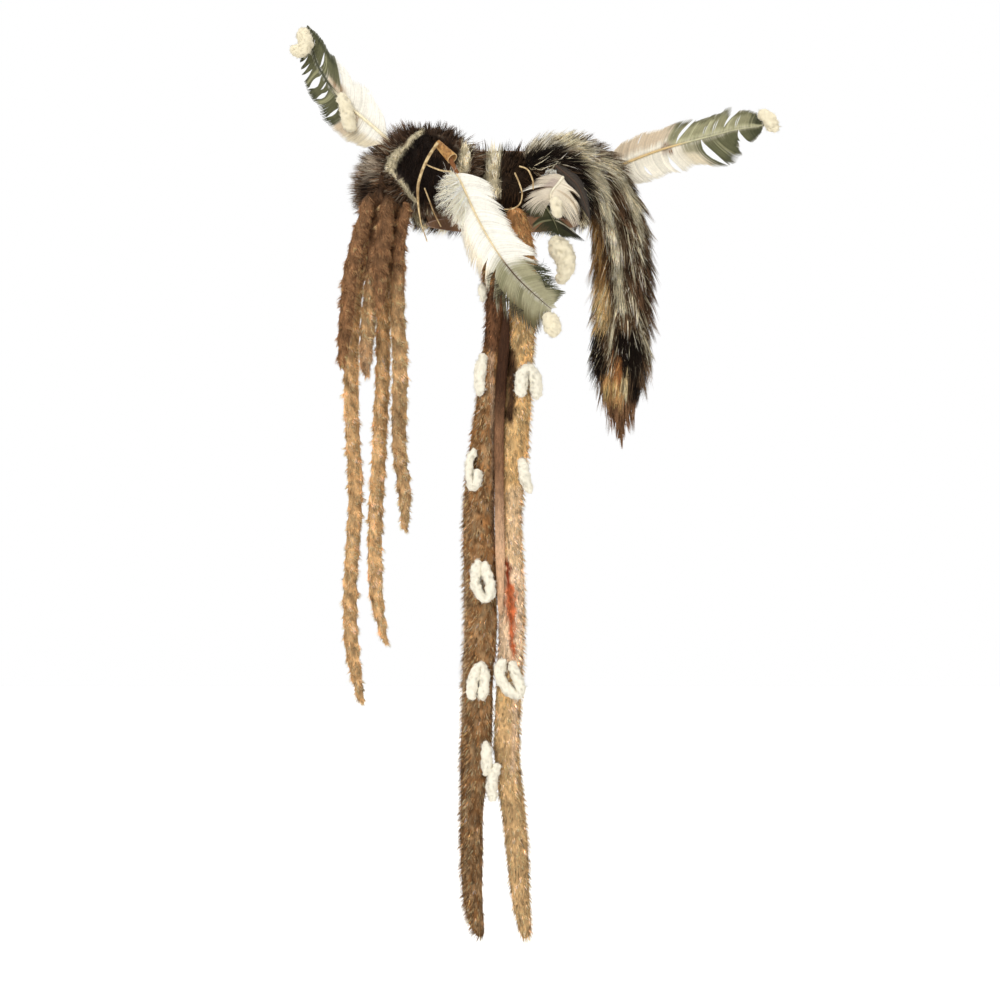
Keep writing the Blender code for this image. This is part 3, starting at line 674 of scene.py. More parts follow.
FRONT_STREAKS = (
    (CREAM, 6, 2.5, ((-33, 52), (-38, 32), (-43, 12), (-46, 0))),
    (SABLE, 6, 2, ((-21, 36), (-26, 20), (-27, -6))),
    (CREAM, 7, 2.5, ((-4, 46), (-9, 28), (-11, 10), (-9, -12))),
    (SABLE, 14, 3, ((15, 40), (14, 14), (16, -12), (20, -40))),
)

SEAM = (
    (-88, 56), (-99, 46), (-105, 40), (-113, 35), (-125, 22), (-123, 13), (-109, -4), (-94, -25),
)
SEAM_STREAKS = (
    (CREAM, 2.8, 1, SEAM[:4]),
    (CREAM, 6, 2.5, ((-115, 32), (-122, 25), (-124, 17))),
    (CREAM, 2.3, 1, SEAM[4:]),
)
POCKET = (*SEAM, (-86, -44), (-44, -48), (-40, 10), (-48, 34), (-62, 44), (-78, 50))
FOLD_MIDDLE = np.array((-88.0, 0.0, 8.0))
PALE_SHARE = 0.25  # of the fold's hairs have a pale tip
FOLD_STREAKS = (
    (tone((118, 98, 78), (214, 198, 176)), 8, 5, ((-146, 26), (-148, 12))),
    (DULL_BLACK, 8, 4, ((-150, -2), (-150, -16), (-147, -30))),
    (tone((54, 37, 26), (92, 69, 52)), 8, 4, ((-116, 50), (-98, 58))),
    (tone((50, 35, 25), (88, 67, 50)), 10, 4, ((-78, 60), (-60, 54), (-46, 44))),
)
POCKET_STREAKS = (
    (tone((44, 30, 21), (84, 62, 44)), 12, 8, ((-66, 38), (-54, 30), (-52, 12))),
)


def inside(outline, x, z):
    """Which (x, z) places lie inside a closed outline."""
    hit = np.zeros(len(x), bool)
    for (x0, z0), (x1, z1) in zip(outline, (*outline[1:], outline[0])):
        if z0 != z1:
            crosses = (z0 > z) != (z1 > z)
            hit ^= crosses & (x < (x1 - x0) * (z - z0) / (z1 - z0) + x0)
    return hit


def facing_front(normals, low=-0.1, high=-0.45):
    return step(normals[:, 1], low, high)


def fold_parts(places, normals):
    """How much each place belongs to the fold's bare pocket, how far it is from the seam, and
    how much it faces the front."""
    x, _, z = places.T
    off, _ = nearest_on(SEAM, x, z)
    front = facing_front(normals)
    return inside(POCKET, x, z) * front, off, front


def paint_fold(places, normals, rng):
    pale = (rng.random(len(places)) < PALE_SHARE)[:, None]
    roots, tips = all_of(UMBER, len(places))
    roots, tips = mottled(roots, rng, 0.25), np.where(pale, PALE_UMBER[1], tips)
    roots, tips = streaked(places, roots, tips, FOLD_STREAKS, rng, 3.0)
    pocket, _, front = fold_parts(places, normals)
    roots, tips = toned(roots, tips, POCKET_DARK, pocket)
    roots, tips = streaked(places, roots, tips, POCKET_STREAKS, rng, 2.0, pocket)
    roots, tips = streaked(places, roots, tips, SEAM_STREAKS, rng, 0.8, front)
    roots, tips = streaked(places, roots, tips, FRONT_STREAKS[:2], rng, 1.2, front)
    return mottled(roots, rng, 0.12), mottled(tips, rng, 0.15)


# How fur parts into clumps: their size, how many times longer than wide they are along the
# fall of the fur, how high they stand, in mm, and how much lighter they are than the gaps,
# which is painted shade in the gaps between clumps.
Clump = namedtuple("Clump", "size stretch height tone")
CLUMP_SWING = 1.7  # brings the noise to about -1 to 1


def clumped(points, clump, seed):
    """Soft noise, about from -1 in the gaps to 1 on the clumps."""
    scale = np.array([1, 1, 1 / clump.stretch]) / clump.size
    shift = Vector((seed, 0, 0))
    return np.array([noise.noise(Vector(p) + shift) for p in points * scale]) * CLUMP_SWING


def coated(name, node, skin, coats, lay, paint, seed, keep=None, scale=None,
           clump=Clump(7, 1.6, 0.7, 0.3), hairs_each=TUFT_HAIRS, tuft_tone=TUFT_TONE):
    """A fur piece: its skin, and on it coats of hair, as (coat, joints) pairs. `lay`, `paint`,
    `keep` and `scale` give for each place the way hair lies, its colours, how much of it
    grows and its share of the coat's length."""
    rng = np.random.default_rng(seed)
    high = clumped(skin.points, clump, seed)
    skin.sunk(-clump.height * high)
    roots, tips = paint(skin.points, skin.normals, rng)
    # Painted shade: the skin is a darkened share of its hair's colour.
    shade = blend(roots, tips, SKIN_TIP_SHARE) * SKIN_PAINTED_SHADE
    # Painted shade: the skin is darker in the gaps between clumps.
    shade = shade * np.exp(clump.tone * high)[:, None]
    parts = [(skin.points, skin.faces, np.column_stack([shade, np.zeros(len(roots))]), 0)]
    for coat, joints in coats:
        places, normals = skin.roots(coat.count, rng, keep)
        leads = tufts(places, rng, hairs_each)
        longer = scale(places, normals) if scale else 1.0
        path = grow(places, normals, coat, lay(places, normals), rng, leads, joints, longer)
        roots, tips = paint((path[:, 0] + path[:, -1]) / 2, normals, rng)
        # Each hair's lightness: its tuft's own tone, and painted shade on hairs in the gaps
        # between clumps.
        light = rng.normal(size=coat.count)[leads] * tuft_tone
        light = np.exp(light + clump.tone * clumped(places, clump, seed))[:, None]
        points, faces, shares = hairs(path, normals, coat.width)
        colours = hair_colours(roots * light, np.minimum(tips * light, BRIGHTEST), shares)
        parts.append((points, faces, colours, 0))
    settle(piece_of(name, parts, [FUR]), node)


def dress_left_fold():
    skin = skin_of("left_fold", rounds=3, levels=2, sink=3.2)
    pocket, off, front = fold_parts(skin.points, skin.normals)
    skin.sunk(pocket * 5 * step(off, 0, 7) - (1 - pocket) * front * 2.0 * step(off, 10, 2))

    def lay(places, normals):
        x, _, z = places.T
        out = places - FOLD_MIDDLE
        out[:, 1] = 0
        pocket, off, front = fold_parts(places, normals)
        out = unit(out) * (1.2, 1, 1) + np.outer(normals[:, 1] > 0.3, (0, 0, -0.6))
        centre = step(x, -62, -44) * front
        out = blend(out, (0.15, 0, 1.0), centre * (z > 5))
        hem = step(off, 4, 2) * front * (z > 28)
        out = blend(out, (0.6, 0, -0.7), hem)
        return blend(out, (0.4, 0, -1.0), pocket)

    def scale(places, normals):
        x, _, z = places.T
        pocket, off, front = fold_parts(places, normals)
        stripes = step(x, -60, -40) * front
        top = step(z, 35, 48) * step(x, -112, -90)
        short = np.maximum(pocket * 0.62, step(off, 7, 2.5) * front * 0.65)
        return 1 - np.maximum(short, np.maximum(stripes * 0.5, top * 0.35))

    long_hair = Coat(7200, 14, 25, 0.75, 36, 12, 0.12, 6, 0.6)
    under_hair = Coat(13000, 6, 11, 1.0, 32, 32, 0.2, 4, 0.5)
    coated(
        "left_fold_fur", "left_fold", skin, ((under_hair, 2), (long_hair, 3)),
        lay, paint_fold, seed=11, scale=scale,
    )


RING_HALF_WIDTH, RING_HALF_DEPTH = 84, 98
RING_STRIPES = (  # middle and half width of each cream stripe round the band, in degrees
    (66, 4), (84, 3), (101, 6), (122, 4), (141, 5), (163, 6), (181, 4), (199, 6), (222, 4),
    (243, 6), (262, 3), (281, 5), (300, 4),
)


def ring_angle(places):
    x, y, _ = places.T
    return np.degrees(np.arctan2(x / RING_HALF_WIDTH, -y / RING_HALF_DEPTH)) % 360


def paint_band(places, normals, rng):
    _, y, z = places.T
    roots, tips = all_of(SABLE, len(places))
    roots = mottled(roots, rng, 0.3)
    angle = ring_angle(places) + rng.normal(size=len(places)) * 0.8 + z * 0.12
    for middle, half in RING_STRIPES:
        share = step(np.abs(angle - middle), half + 1.5, half - 1)
        roots, tips = toned(roots, tips, CREAM, share)
    front = step(y, -60, -90)
    roots, tips = streaked(places, roots, tips, FRONT_STREAKS, rng, 1.3, front)
    return mottled(roots, rng, 0.12), mottled(tips, rng, 0.15)


def dress_band():
    skin = skin_of("band_fur", rounds=2, levels=1, sink=1.2)
    x, y, z = skin.points.T
    under = step(z, -14, -34) * step(y, -40, -80) * step(x, -34, -50)
    skin.sunk(under * 6)

    def outer(places, normals):
        return (normals * places * (1, 1, 0)).sum(axis=1) > -20

    def lay(places, normals):
        x, y, z = places.T
        round_way = unit(np.cross(UP, places * (1, 1, 0)))
        ways = round_way * 0.75 + DOWN * 0.8
        front = step(y, -60, -95) * (np.abs(x) < 60)
        fan = np.column_stack([x * 0.016 + 0.25, x * 0, z * 0 + 1])
        upper = step(z, -8, 6)
        return blend(ways, blend(np.tile(DOWN, (len(places), 1)), fan, upper), front)

    def scale(places, normals):
        x, y, z = places.T
        low = step(z, -12, -34) * step(y, -40, -80)
        left = step(x, -30, -46)
        return 1 - low * (0.25 + 0.4 * left)

    long_hair = Coat(5000, 12, 20, 0.85, 24, 8, 0.11, 6, 0.6)
    under_hair = Coat(8500, 7, 11, 1.15, 26, 26, 0.2, 4, 0.5)
    coated(
        "band_fur_hair", "band_fur", skin, ((under_hair, 2), (long_hair, 3)),
        lay, paint_band, seed=12, keep=outer, scale=scale,
    )


STRAY_CREAM = 0.08  # of the pelt's hairs are cream wherever they grow
PELT_LINE = (
    (16, 16), (47, 33), (80, 31), (108, 13), (127, -22), (134, -66), (136, -110), (136, -154),
    (134, -192), (132, -231), (133, -264), (134, -300),
)
PELT_STREAKS = (
    (GREY, 9, 4, ((20, 40), (48, 46), (80, 44), (98, 34), (114, 16))),
    (BLACK, 11, 3, ((34, 20), (58, 26), (78, 18), (92, -2), (94, -40))),
    (UMBER_BLACK, 6, 3, ((109, 27), (119, 17), (128, -4), (134, -30))),
    (UMBER_BLACK, 7, 3, ((134, -22), (143, -50), (149, -78))),
    (UMBER_BLACK, 14, 4, ((148, -70), (156, -104), (158, -140))),
    (OCHRE, 8, 4, ((100, -46), (106, -77), (109, -106))),
    (UMBER_BLACK, 5, 3, ((118, -56), (120, -90), (122, -128))),
    (TAN, 9, 4, ((109, -119), (113, -140), (111, -155))),
    (CREAM, 7, 2, ((66, 50), (88, 39), (99, 22), (109, -2), (117, -29))),
    (CREAM, 5.2, 2, ((115, -26), (124, -55), (129, -82), (130, -117), (133, -140))),
    (CREAM, 5.5, 2, ((116, 24), (131, 5), (145, -18), (150, -34))),
    (CREAM, 1.5, 1, ((151, -34), (156, -60))),
    (CREAM, 0.9, 0.6, ((142, -48), (146, -74), (147, -102))),
    (CREAM, 0.9, 0.6, ((151, -56), (155, -80), (156, -104))),
    (CREAM, 2, 1.5, ((146, -128), (154, -150), (160, -173), (164, -196))),
    (CREAM, 1.3, 0.8, ((132, -138), (124, -152), (121, -180), (121, -218))),
    (BLACK, 8, 3, ((106, -172), (107, -196), (111, -214))),
    (BLACK, 15, 4, ((142, -174), (146, -200))),
    (BLACK, 5, 3, ((146, -206), (151, -238))),
    (tone((196, 148, 94), (236, 188, 130)), 9, 3, ((122, -220), (126, -238))),
    (tone((176, 112, 64), (226, 160, 102)), 4, 1.5, ((129, -198), (130, -214))),
    (tone((238, 208, 152), (255, 238, 192)), 2.6, 1, ((137, -212), (138, -236))),
)


def paint_pelt(places, normals, rng):
    z = places[:, 2]
    count = len(places)
    roots, tips = all_of(TIPPED_UMBER, count)
    low = step(z, -232, -246)
    roots, tips = toned(mottled(roots, rng, 0.25), tips, TAIL_BROWN, low)
    front = 0.25 + 0.75 * facing_front(normals, 0.5, 0.1)
    roots, tips = streaked(places, roots, tips, PELT_STREAKS, rng, 2.2, front)
    strays = (rng.random(count) < STRAY_CREAM) * step(z, -215, -180)
    roots, tips = toned(roots, tips, CREAM, strays)
    return mottled(roots, rng, 0.14), mottled(tips, rng, 0.18)


def dress_pelt():
    skin = skin_of("right_pelt", rounds=4, levels=1, sink=3.0)
    skin.sunk(6 * step(skin.points[:, 2], -238, -262))

    def lay(places, normals):
        x, _, z = places.T
        _, way = nearest_on(PELT_LINE, x, z)
        ways = np.column_stack([way[:, 0], np.zeros(len(way)), way[:, 1]])
        outward = step(z, 14, 45)[:, None] * (0.2, 0, 0.75)
        middle = np.interp(-z, [30, 66, 154, 231, 290], [118, 134, 136, 132, 134])
        apart = np.where(z < -30, (x - middle) / 32, 0)
        closing = step(z, -190, -225)
        return ways + outward + np.outer(apart * (1 - 2.2 * closing), (0.3, 0, 0))

    def scale(places, normals):
        z = places[:, 2]
        top = step(z, 10, 40)
        return 1 - 0.4 * step(z, -235, -280) - 0.4 * top

    long_hair = Coat(7600, 22, 40, 0.9, 16, 4, 0.085, 8, 0.7)
    under_hair = Coat(15000, 9, 16, 1.1, 22, 22, 0.15, 4, 0.5)
    coated(
        "right_pelt_fur", "right_pelt", skin, ((under_hair, 2), (long_hair, 3)),
        lay, paint_pelt, seed=13, scale=scale,
    )


# How brown a drop is: its tone at the top and lower down.
Drop = namedtuple("Drop", "top low")
DARK_DROP = Drop(tone((124, 84, 52), (214, 166, 122)), tone((120, 80, 48), (220, 168, 120)))
LONG_DROP = Drop(tone((130, 88, 54), (220, 170, 124)), tone((234, 174, 111), (255, 232, 182)))
MID_DROP = Drop(tone((124, 84, 54), (216, 166, 120)), tone((200, 148, 96), (255, 224, 172)))
DROP_TONES = {1: LONG_DROP, 2: DARK_DROP, 3: DARK_DROP, 4: MID_DROP, 5: LONG_DROP, 6: MID_DROP}
DROP_TWIST = 21  # the rise of one turn of the twisted hide
DROP_FOOT, DROP_STRETCH = 5, 45  # how far the skin ends above its solid, and what is stretched
DROP_HAIRS_PER_MM = 20
DROP_SHELF = 8  # the height of the slices whose middles give a drop's axis
PALE_END = srgb(226, 200, 166)  # the tips low on the fourth drop


def lowest(node):
    """The height of a CAD piece's lowest point, in mm."""
    return min(corner[2] for corner in NODES[node].bound_box) / MM


def dress_drop(number):
    node = f"fur_drop_{number}"
    skin = skin_of(node, rounds=2, levels=1, sink=1.2)
    foot, end = lowest(node), skin.points[:, 2].min()
    lowered = step(skin.points[:, 2], end + DROP_STRETCH, end)
    skin.points[:, 2] += (foot + DROP_FOOT - end) * lowered
    tones = DROP_TONES[number]
    heights = skin.points[:, 2]
    shelves = np.arange(heights.min(), heights.max() + DROP_SHELF, DROP_SHELF)
    shelf = np.digitize(heights, shelves)
    held = [k for k in range(1, len(shelves) + 1) if (shelf == k).any()]
    middles = np.array([skin.points[shelf == k].mean(axis=0) for k in held])
    middles = middles[np.argsort(middles[:, 2])]

    def turn_of(places):
        x = np.interp(places[:, 2], middles[:, 2], middles[:, 0])
        y = np.interp(places[:, 2], middles[:, 2], middles[:, 1])
        angle = np.arctan2(places[:, 1] - y, places[:, 0] - x)
        return angle + places[:, 2] * tau / DROP_TWIST + number

    skin.sunk(0.5 * np.cos(turn_of(skin.points)) + 3.5 * step(heights, -22, -2))

    def lay(places, normals):
        return DOWN * 0.7 + np.cross(normals, DOWN) * 0.4

    def paint(places, normals, rng):
        z = places[:, 2]
        top = step(z, -170, -70)
        roots, tips = toned(*all_of(tones.low, len(places)), tones.top, top)
        if number == 4:
            tips = blend(tips, PALE_END, step(z, -160, -190))
        # Painted shade: roots darker in the grooves of the twisted hide.
        groove_shade = 0.8 + 0.25 * step(np.cos(turn_of(places)), 0.8, -0.8)
        roots *= groove_shade[:, None]
        roots, tips = toned(roots, tips, UMBER, step(z, -36, -8))
        return mottled(roots, rng, 0.14), mottled(tips, rng, 0.16)

    def scale(places, normals):
        return 0.75 + 0.5 * step(np.cos(turn_of(places)), 0.6, -0.8)

    count = round(DROP_HAIRS_PER_MM * (heights.max() - heights.min()))
    coat = Coat(count, 4.5, 7.5, 1.0, 30, 28, 0.24, 5, 0.4)
    coated(
        node + "_fur", node, skin, ((coat, 2),), lay, paint, seed=20 + number,
        scale=scale, clump=Clump(5, 2.2, 1.1, 0.45),
    )


STRIP_HAIRS = 16000
STRAW = tone((228, 176, 110), (255, 226, 172))
LOW_STRAW = tone((206, 160, 106), (255, 222, 168))
HIGH_STRAW = tone((178, 118, 66), (246, 196, 138))
VELVET = tone((150, 108, 78), (180, 136, 100))
LOW_VELVET = tone((244, 192, 150), (255, 220, 180))
# The next tone is painted shade: the dark opening between the strips near their top.
OPENING_SHADE = tone((70, 44, 28), (96, 64, 44))
LEFT_STRIP_STREAKS = (
    (tone((104, 68, 44), (146, 104, 72)), 14, 3, ((-8, -130), (-8, -176))),
    (
        tone((176, 138, 106), (224, 192, 160)), 2.6, 1.2,
        ((-12, -194), (-11, -224), (-10, -254), (-8.5, -304), (-8.5, -340), (-7, -400)),
    ),
    (tone((196, 160, 120), (234, 206, 170)), 1.4, 1, ((-41, -430), (-42, -520), (-43, -600))),
)
RIGHT_STRIP_STREAKS = (
    # The first streak is painted shade: the dark opening between the strips.
    (tone((70, 46, 28), (104, 74, 48)), 6, 3, ((10, -190), (11, -230), (8, -262))),
    (tone((246, 200, 148), (255, 232, 192)), 10, 5, ((15, -346), (14, -400), (15, -446))),
    (tone((250, 208, 166), (255, 236, 204)), 16, 6, ((10, -440), (8, -480), (8, -526))),
    (tone((232, 190, 148), (255, 226, 190)), 3.4, 2, ((16, -534), (15, -590), (12, -650))),
    (tone((128, 50, 22), (176, 82, 44)), 2.6, 0.8, ((5.5, -420), (7.5, -448))),
    (tone((206, 98, 52), (240, 150, 98)), 4.8, 1.2, ((8.5, -450), (9, -468), (9.5, -484))),
    (tone((206, 98, 52), (236, 136, 84)), 3, 0.8, ((9.5, -484), (11, -508), (12.5, -520))),
)


def strip_lay(line, lean):
    """Hair that lies down the strip, parted along its middle line."""

    def lay(places, normals):
        x, _, z = places.T
        middle = np.interp(-z, [-row[1] for row in line], [row[0] for row in line])
        out = np.clip((x - middle) / 16, -1, 1)
        return DOWN + np.outer(out * 0.5 + lean, (1, 0, 0))

    return lay


LEFT_LINE = (
    (-6, -139), (-17.5, -251), (-25, -350), (-23.5, -500), (-27.5, -600), (-29, -640),
    (-33.5, -750), (-23, -834),
)
RIGHT_LINE = (
    (13, -60), (23, -139), (16, -251), (9.5, -370), (10.5, -500), (6.5, -570), (5.5, -645),
    (17.5, -750), (26, -836),
)


def paint_left_strip(places, normals, rng):
    count = len(places)
    roots = mottled(np.tile(srgb(138, 94, 54), (count, 1)), rng, 0.5)
    pale = (rng.random(count) < 0.45)[:, None]
    tips = np.where(pale, srgb(255, 220, 168), srgb(190, 142, 92))
    low = step(places[:, 2], -520, -640)
    roots, tips = toned(roots, tips, (roots * 0.66, tips * 0.8), low)
    front = facing_front(normals, 0.5, 0.0)
    roots, tips = streaked(places, roots, tips, LEFT_STRIP_STREAKS, rng, 0.8, front)
    return mottled(roots, rng, 0.1), mottled(tips, rng, 0.14)


def paint_right_strip(places, normals, rng):
    z = places[:, 2]
    roots, tips = all_of(STRAW, len(places))
    roots, tips = mottled(roots, rng, 0.36), mottled(tips, rng, 0.16)
    roots, tips = toned(roots, tips, LOW_STRAW, step(z, -540, -600))
    roots, tips = toned(roots, tips, HIGH_STRAW, step(z, -120, -60))
    front = facing_front(normals, 0.5, 0.0)
    return streaked(places, roots, tips, RIGHT_STRIP_STREAKS, rng, 0.9, front)


def mostly_front(places, normals):
    """Half as much hair grows on the back as on the front."""
    return 1 - 0.5 * step(normals[:, 1], 0, 0.5)


def dress_strip(node, line, lean, paint, seed):
    skin = skin_of(node, rounds=2, levels=1, sink=-1.4)
    coat = Coat(STRIP_HAIRS, 6, 9, 0.95, 15, 13, 0.13, 3, 0.8)
    coated(
        node + "_fur", node, skin, ((coat, 2),), strip_lay(line, lean), paint, seed,
        keep=mostly_front, clump=Clump(2.2, 3.4, 0.5, 0.5), hairs_each=4, tuft_tone=0.42,
    )


def paint_fold_between(places, normals, rng):
    z = places[:, 2]
    roots, tips = all_of(VELVET, len(places))
    roots, tips = toned(roots, tips, LOW_VELVET, step(z, -310, -410))
    # Painted shade: darker near the top, in the opening between the strips.
    roots, tips = toned(roots, tips, OPENING_SHADE, step(z, -290, -225))
    return mottled(roots, rng, 0.12), mottled(tips, rng, 0.14)


def dress_fold_between():
    skin = skin_of("hide_fold", rounds=1, levels=2, sink=0.2)
    nap = Coat(5500, 2, 3.2, 0.8, 18, 18, 0.15, 4, 0.2)
    coated(
        "hide_fold_nap", "hide_fold", skin, ((nap, 2),),
        strip_lay(LEFT_LINE, 0), paint_fold_between, seed=33, clump=Clump(6, 2, 0.2, 0.12),
    )


def dress_fur():
    dress_left_fold()
    dress_band()
    dress_pelt()
    for number in DROP_TONES:
        dress_drop(number)
    dress_strip("fur_strip_left", LEFT_LINE, -0.3, paint_left_strip, 31)
    dress_strip("fur_strip_right", RIGHT_LINE, 0.22, paint_right_strip, 32)
    dress_fold_between()


# ---------------------------------------------------------------- feathers

# A slit in a vane: its place as a share of the shaft, the shares of the vane's width where it
# starts and ends (it is open at the rim when that is OPEN), and half its width in mm.
Slit = namedtuple("Slit", "side at start end gap")
OPEN = 2
# A stretch of colour: from and to as shares of the shaft, and of the way out to the vane's
# edge, and how soft its ends are. A later one lies over an earlier one.
Zone = namedtuple("Zone", "side start end inner outer colour soft")
# A stretch of vane whose barbs have come apart: over how much of the vane, from the edge, and
# how far they stray there in mm.
Fray = namedtuple("Fray", "side start end depth sway")
# How a feather is made: the barbs on each side, how far they sweep on for each mm out, how far
# the vanes fall back (below 0 they come forward), how ragged the ends are, the shaft's half
# width, its colours, and where on it the second one takes over, and the vane's colour.
Plume = namedtuple("Plume", "barbs sweep fall ragged shaft shaft_base shaft_tip turn base")
# Loose downy strands: the lines of (x, z) that they run from and to, how many, how much they
# curl, their half width, and how far in front of the shaft they lie, all in mm.
Wisp = namedtuple("Wisp", "roots tips count curl width front colour")
# A feather: its CAD node, its slot, its seed, and the stations of its shaft. Where rims is
# left out, the barbs end where the stations say.
Feather = namedtuple(
    "Feather", "node slot seed stations plume zones slits frays rims wisps",
    defaults=((), None, ()),
)
VANES = (("left", 3, -1), ("right", 4, 1))  # each side's column in the stations, and its sign
BARB_JOINTS, BARB_SIDES = 7, 4
BARB_THICKNESS, NARROWEST_BARB = 0.28, 0.3  # half of each, in mm
BARB_OVERLAP = 1.5
SWEPT_WIDTH = 0.75  # a swept barb's width, as a share of the room that it has on the shaft
BARB_BOW = 0.24  # how far a barb bends on towards the tip, as a share of its length
BARB_TAPER = 0.16  # the share of a barb over which it ends
BARB_SPECKLE = 0.06  # how much barbs differ in lightness
ZONE_WANDER = 0.008  # how far a colour's end wanders from barb to barb
LOOK = 0.004  # the share of the shaft to each side that gives its direction
LUMP_BARBS, LUMP_PUSH = 5, 14  # barbs that keep together, and how far they are pushed on, in mm
RIPPLE, RIPPLE_RATE = 0.5, 31  # how far a vane ripples, in mm, and how often
SCATTER, FRAYED_SCATTER = 0.12, 1.5  # how far barbs leave the vane's plane, in mm
STAND_OFF = 0.35  # from the front of the CAD piece, in mm
SLIT_REACH = 7  # how far along the shaft a slit pushes barbs aside, in mm
FRAY_EDGE, FRAY_THINNING = 0.03, 0.6
SHORTEST_REACH = 0.8  # of a barb from the shaft, in mm
SHAFT_SIDES, SHAFT_JOINTS = 8, 30
SHAFT_TAPER = 0.82
SHAFT_FADE = 0.06  # half the share of the shaft over which its colour changes
WISP_JOINTS, WISP_SIDES = 6, 4

WHITE = srgb(246, 243, 233)
WARM_WHITE = srgb(240, 230, 208)
CREAM_WHITE = srgb(242, 236, 220)
BEIGE = srgb(218, 206, 180)
WARM_BEIGE = srgb(208, 190, 164)
PINK_BEIGE = srgb(214, 203, 184)
SAGE = srgb(166, 161, 130)
DARK_OLIVE = srgb(66, 68, 44)
RIM_OLIVE = srgb(82, 81, 55)
OLIVE = srgb(92, 92, 62)
MID_OLIVE = srgb(94, 94, 66)
GREY_OLIVE = srgb(146, 143, 110)
PALE_OLIVE = srgb(150, 148, 112)
LIGHT_OLIVE = srgb(188, 185, 150)
STAIN = srgb(132, 96, 62)
QUILL_TAN, QUILL_WHITE, QUILL_BROWN = srgb(206, 178, 126), srgb(238, 230, 206), srgb(84, 60, 44)
QUILL_PALE = srgb(226, 206, 164)
QUILL_CREAM = srgb(240, 228, 195)


def feather_finish():
    """Barbs carry their own colour. Each is a little uneven along its length."""
    barbs = Finish("feather_barbs", Roughness=0.62, Specular_IOR_Level=0.2, Sheen_Weight=0.08)
    fine = barbs.noise(520, detail=4)
    cloud = barbs.noise(75, detail=3)
    shade = barbs.range(fine, 0.3, 0.7, 0.93, 1.04) * barbs.range(cloud, 0.3, 0.7, 0.95, 1.03)
    barbs.colour(barbs.scaled(barbs.painted(), shade))
    barbs.bump(fine, 0.0003, 0.6)
    return barbs.material


def quill_finish():
    """Horn that carries its own colour, with faint ridges and gloss."""
    horn = Finish("quill_horn", Coat_Roughness=0.3, Specular_IOR_Level=0.45)
    ridges = horn.noise(1500, detail=2)
    stains = horn.noise(190, detail=4)
    shade = horn.range(stains, 0.35, 0.65, 0.86, 1.06)
    horn.colour(horn.scaled(horn.painted(), shade))
    horn.roughness(0.34 + 0.2 * stains)
    horn.bump(ridges, 0.0002, 0.5)
    return horn.material


IN_FRONT = -0.5  # well in front of every piece, in metres


def fronts_of(node, x, z):
    """How far forward a CAD piece's surface is at these (x, z) places, in mm."""
    tree = search_tree(node)
    found = []
    for one_x, one_z in zip(x, z):
        start = Vector((one_x * MM, IN_FRONT, one_z * MM))
        hit = tree.ray_cast(start, Vector((0, 1, 0)))[0]
        found.append(hit.y / MM if hit else np.nan)
    found = np.array(found)
    known = ~np.isnan(found)
    return np.interp(np.arange(len(found)), np.flatnonzero(known), found[known])


def tubes(path, side, face, half_wide, half_thick, sides):
    """Closed tubes along paths, (tube, joint, xyz), each with its own widths at each joint."""
    count, joints, _ = path.shape
    rings = []
    for j in range(sides):
        turn = tau * j / sides
        wide, thick = half_wide * cos(turn), half_thick * sin(turn)
        rings.append(path + side * wide[..., None] + face * thick[..., None])
    points = np.stack(rings, axis=2).reshape(count, joints * sides, 3)
    faces = []
    for k in range(joints - 1):
        for j in range(sides):
            a, b = k * sides + j, k * sides + (j + 1) % sides
            faces += [(a, b + sides, b), (a, a + sides, b + sides)]
    last = (joints - 1) * sides
    faces += [(0, j, j + 1) for j in range(1, sides - 1)]
    faces += [(last, last + j + 1, last + j) for j in range(1, sides - 1)]
    starts = (np.arange(count) * joints * sides)[:, None, None]
    return points.reshape(-1, 3), (np.array(faces)[None] + starts).reshape(-1, 3)


def frames_of(path):
    """The side and the face of paths at each joint, seen from the front."""
    way = unit(np.gradient(path, axis=1))
    side = unit(np.cross(way, np.broadcast_to(FORWARD, way.shape)))
    return side, np.cross(side, way)


def zoned(zones, side, at, out, base, rng):
    """Colours at places on a vane: `at` along the shaft and `out` towards the edge."""
    colours = np.tile(base, (*at.shape, 1)).astype(float)
    wander = rng.normal(size=(len(at), 1)) * ZONE_WANDER
    for zone in map(Zone._make, zones):
        if zone.side in (side, "both"):
            soft = zone.soft
            share = step(at + wander, zone.start - soft, zone.start + soft)
            share = share * step(at + wander, zone.end + soft, zone.end - soft)
            share = share * step(out + wander * 4, zone.inner - 0.12, zone.inner + 0.06)
            share = share * step(out + wander * 4, zone.outer + 0.1, zone.outer - 0.06)
            colours = colours * (1 - share[..., None]) + np.array(zone.colour) * share[..., None]
    return colours


def swept_ends(rows, at, start, along, across, column, sweep):
    """Where barbs end, from how far the vane reaches at the place where each ends."""
    length = distances_along(rows)[-1]
    reach = start[:, column]
    for _ in range(4):
        reach = rows_at(rows, at * length + reach * sweep)[:, column]
    reach = np.maximum(reach, SHORTEST_REACH)[:, None]
    return start[:, :3] + across * reach + along * reach * sweep


def rim_ends(start, at, rim):
    """Where barbs end, from a table of the vane's rim."""
    rim = np.array(rim, float)
    x, z = (np.interp(at, rim[:, 0], rim[:, column]) for column in (1, 2))
    return np.column_stack([x, start[:, 1], z])


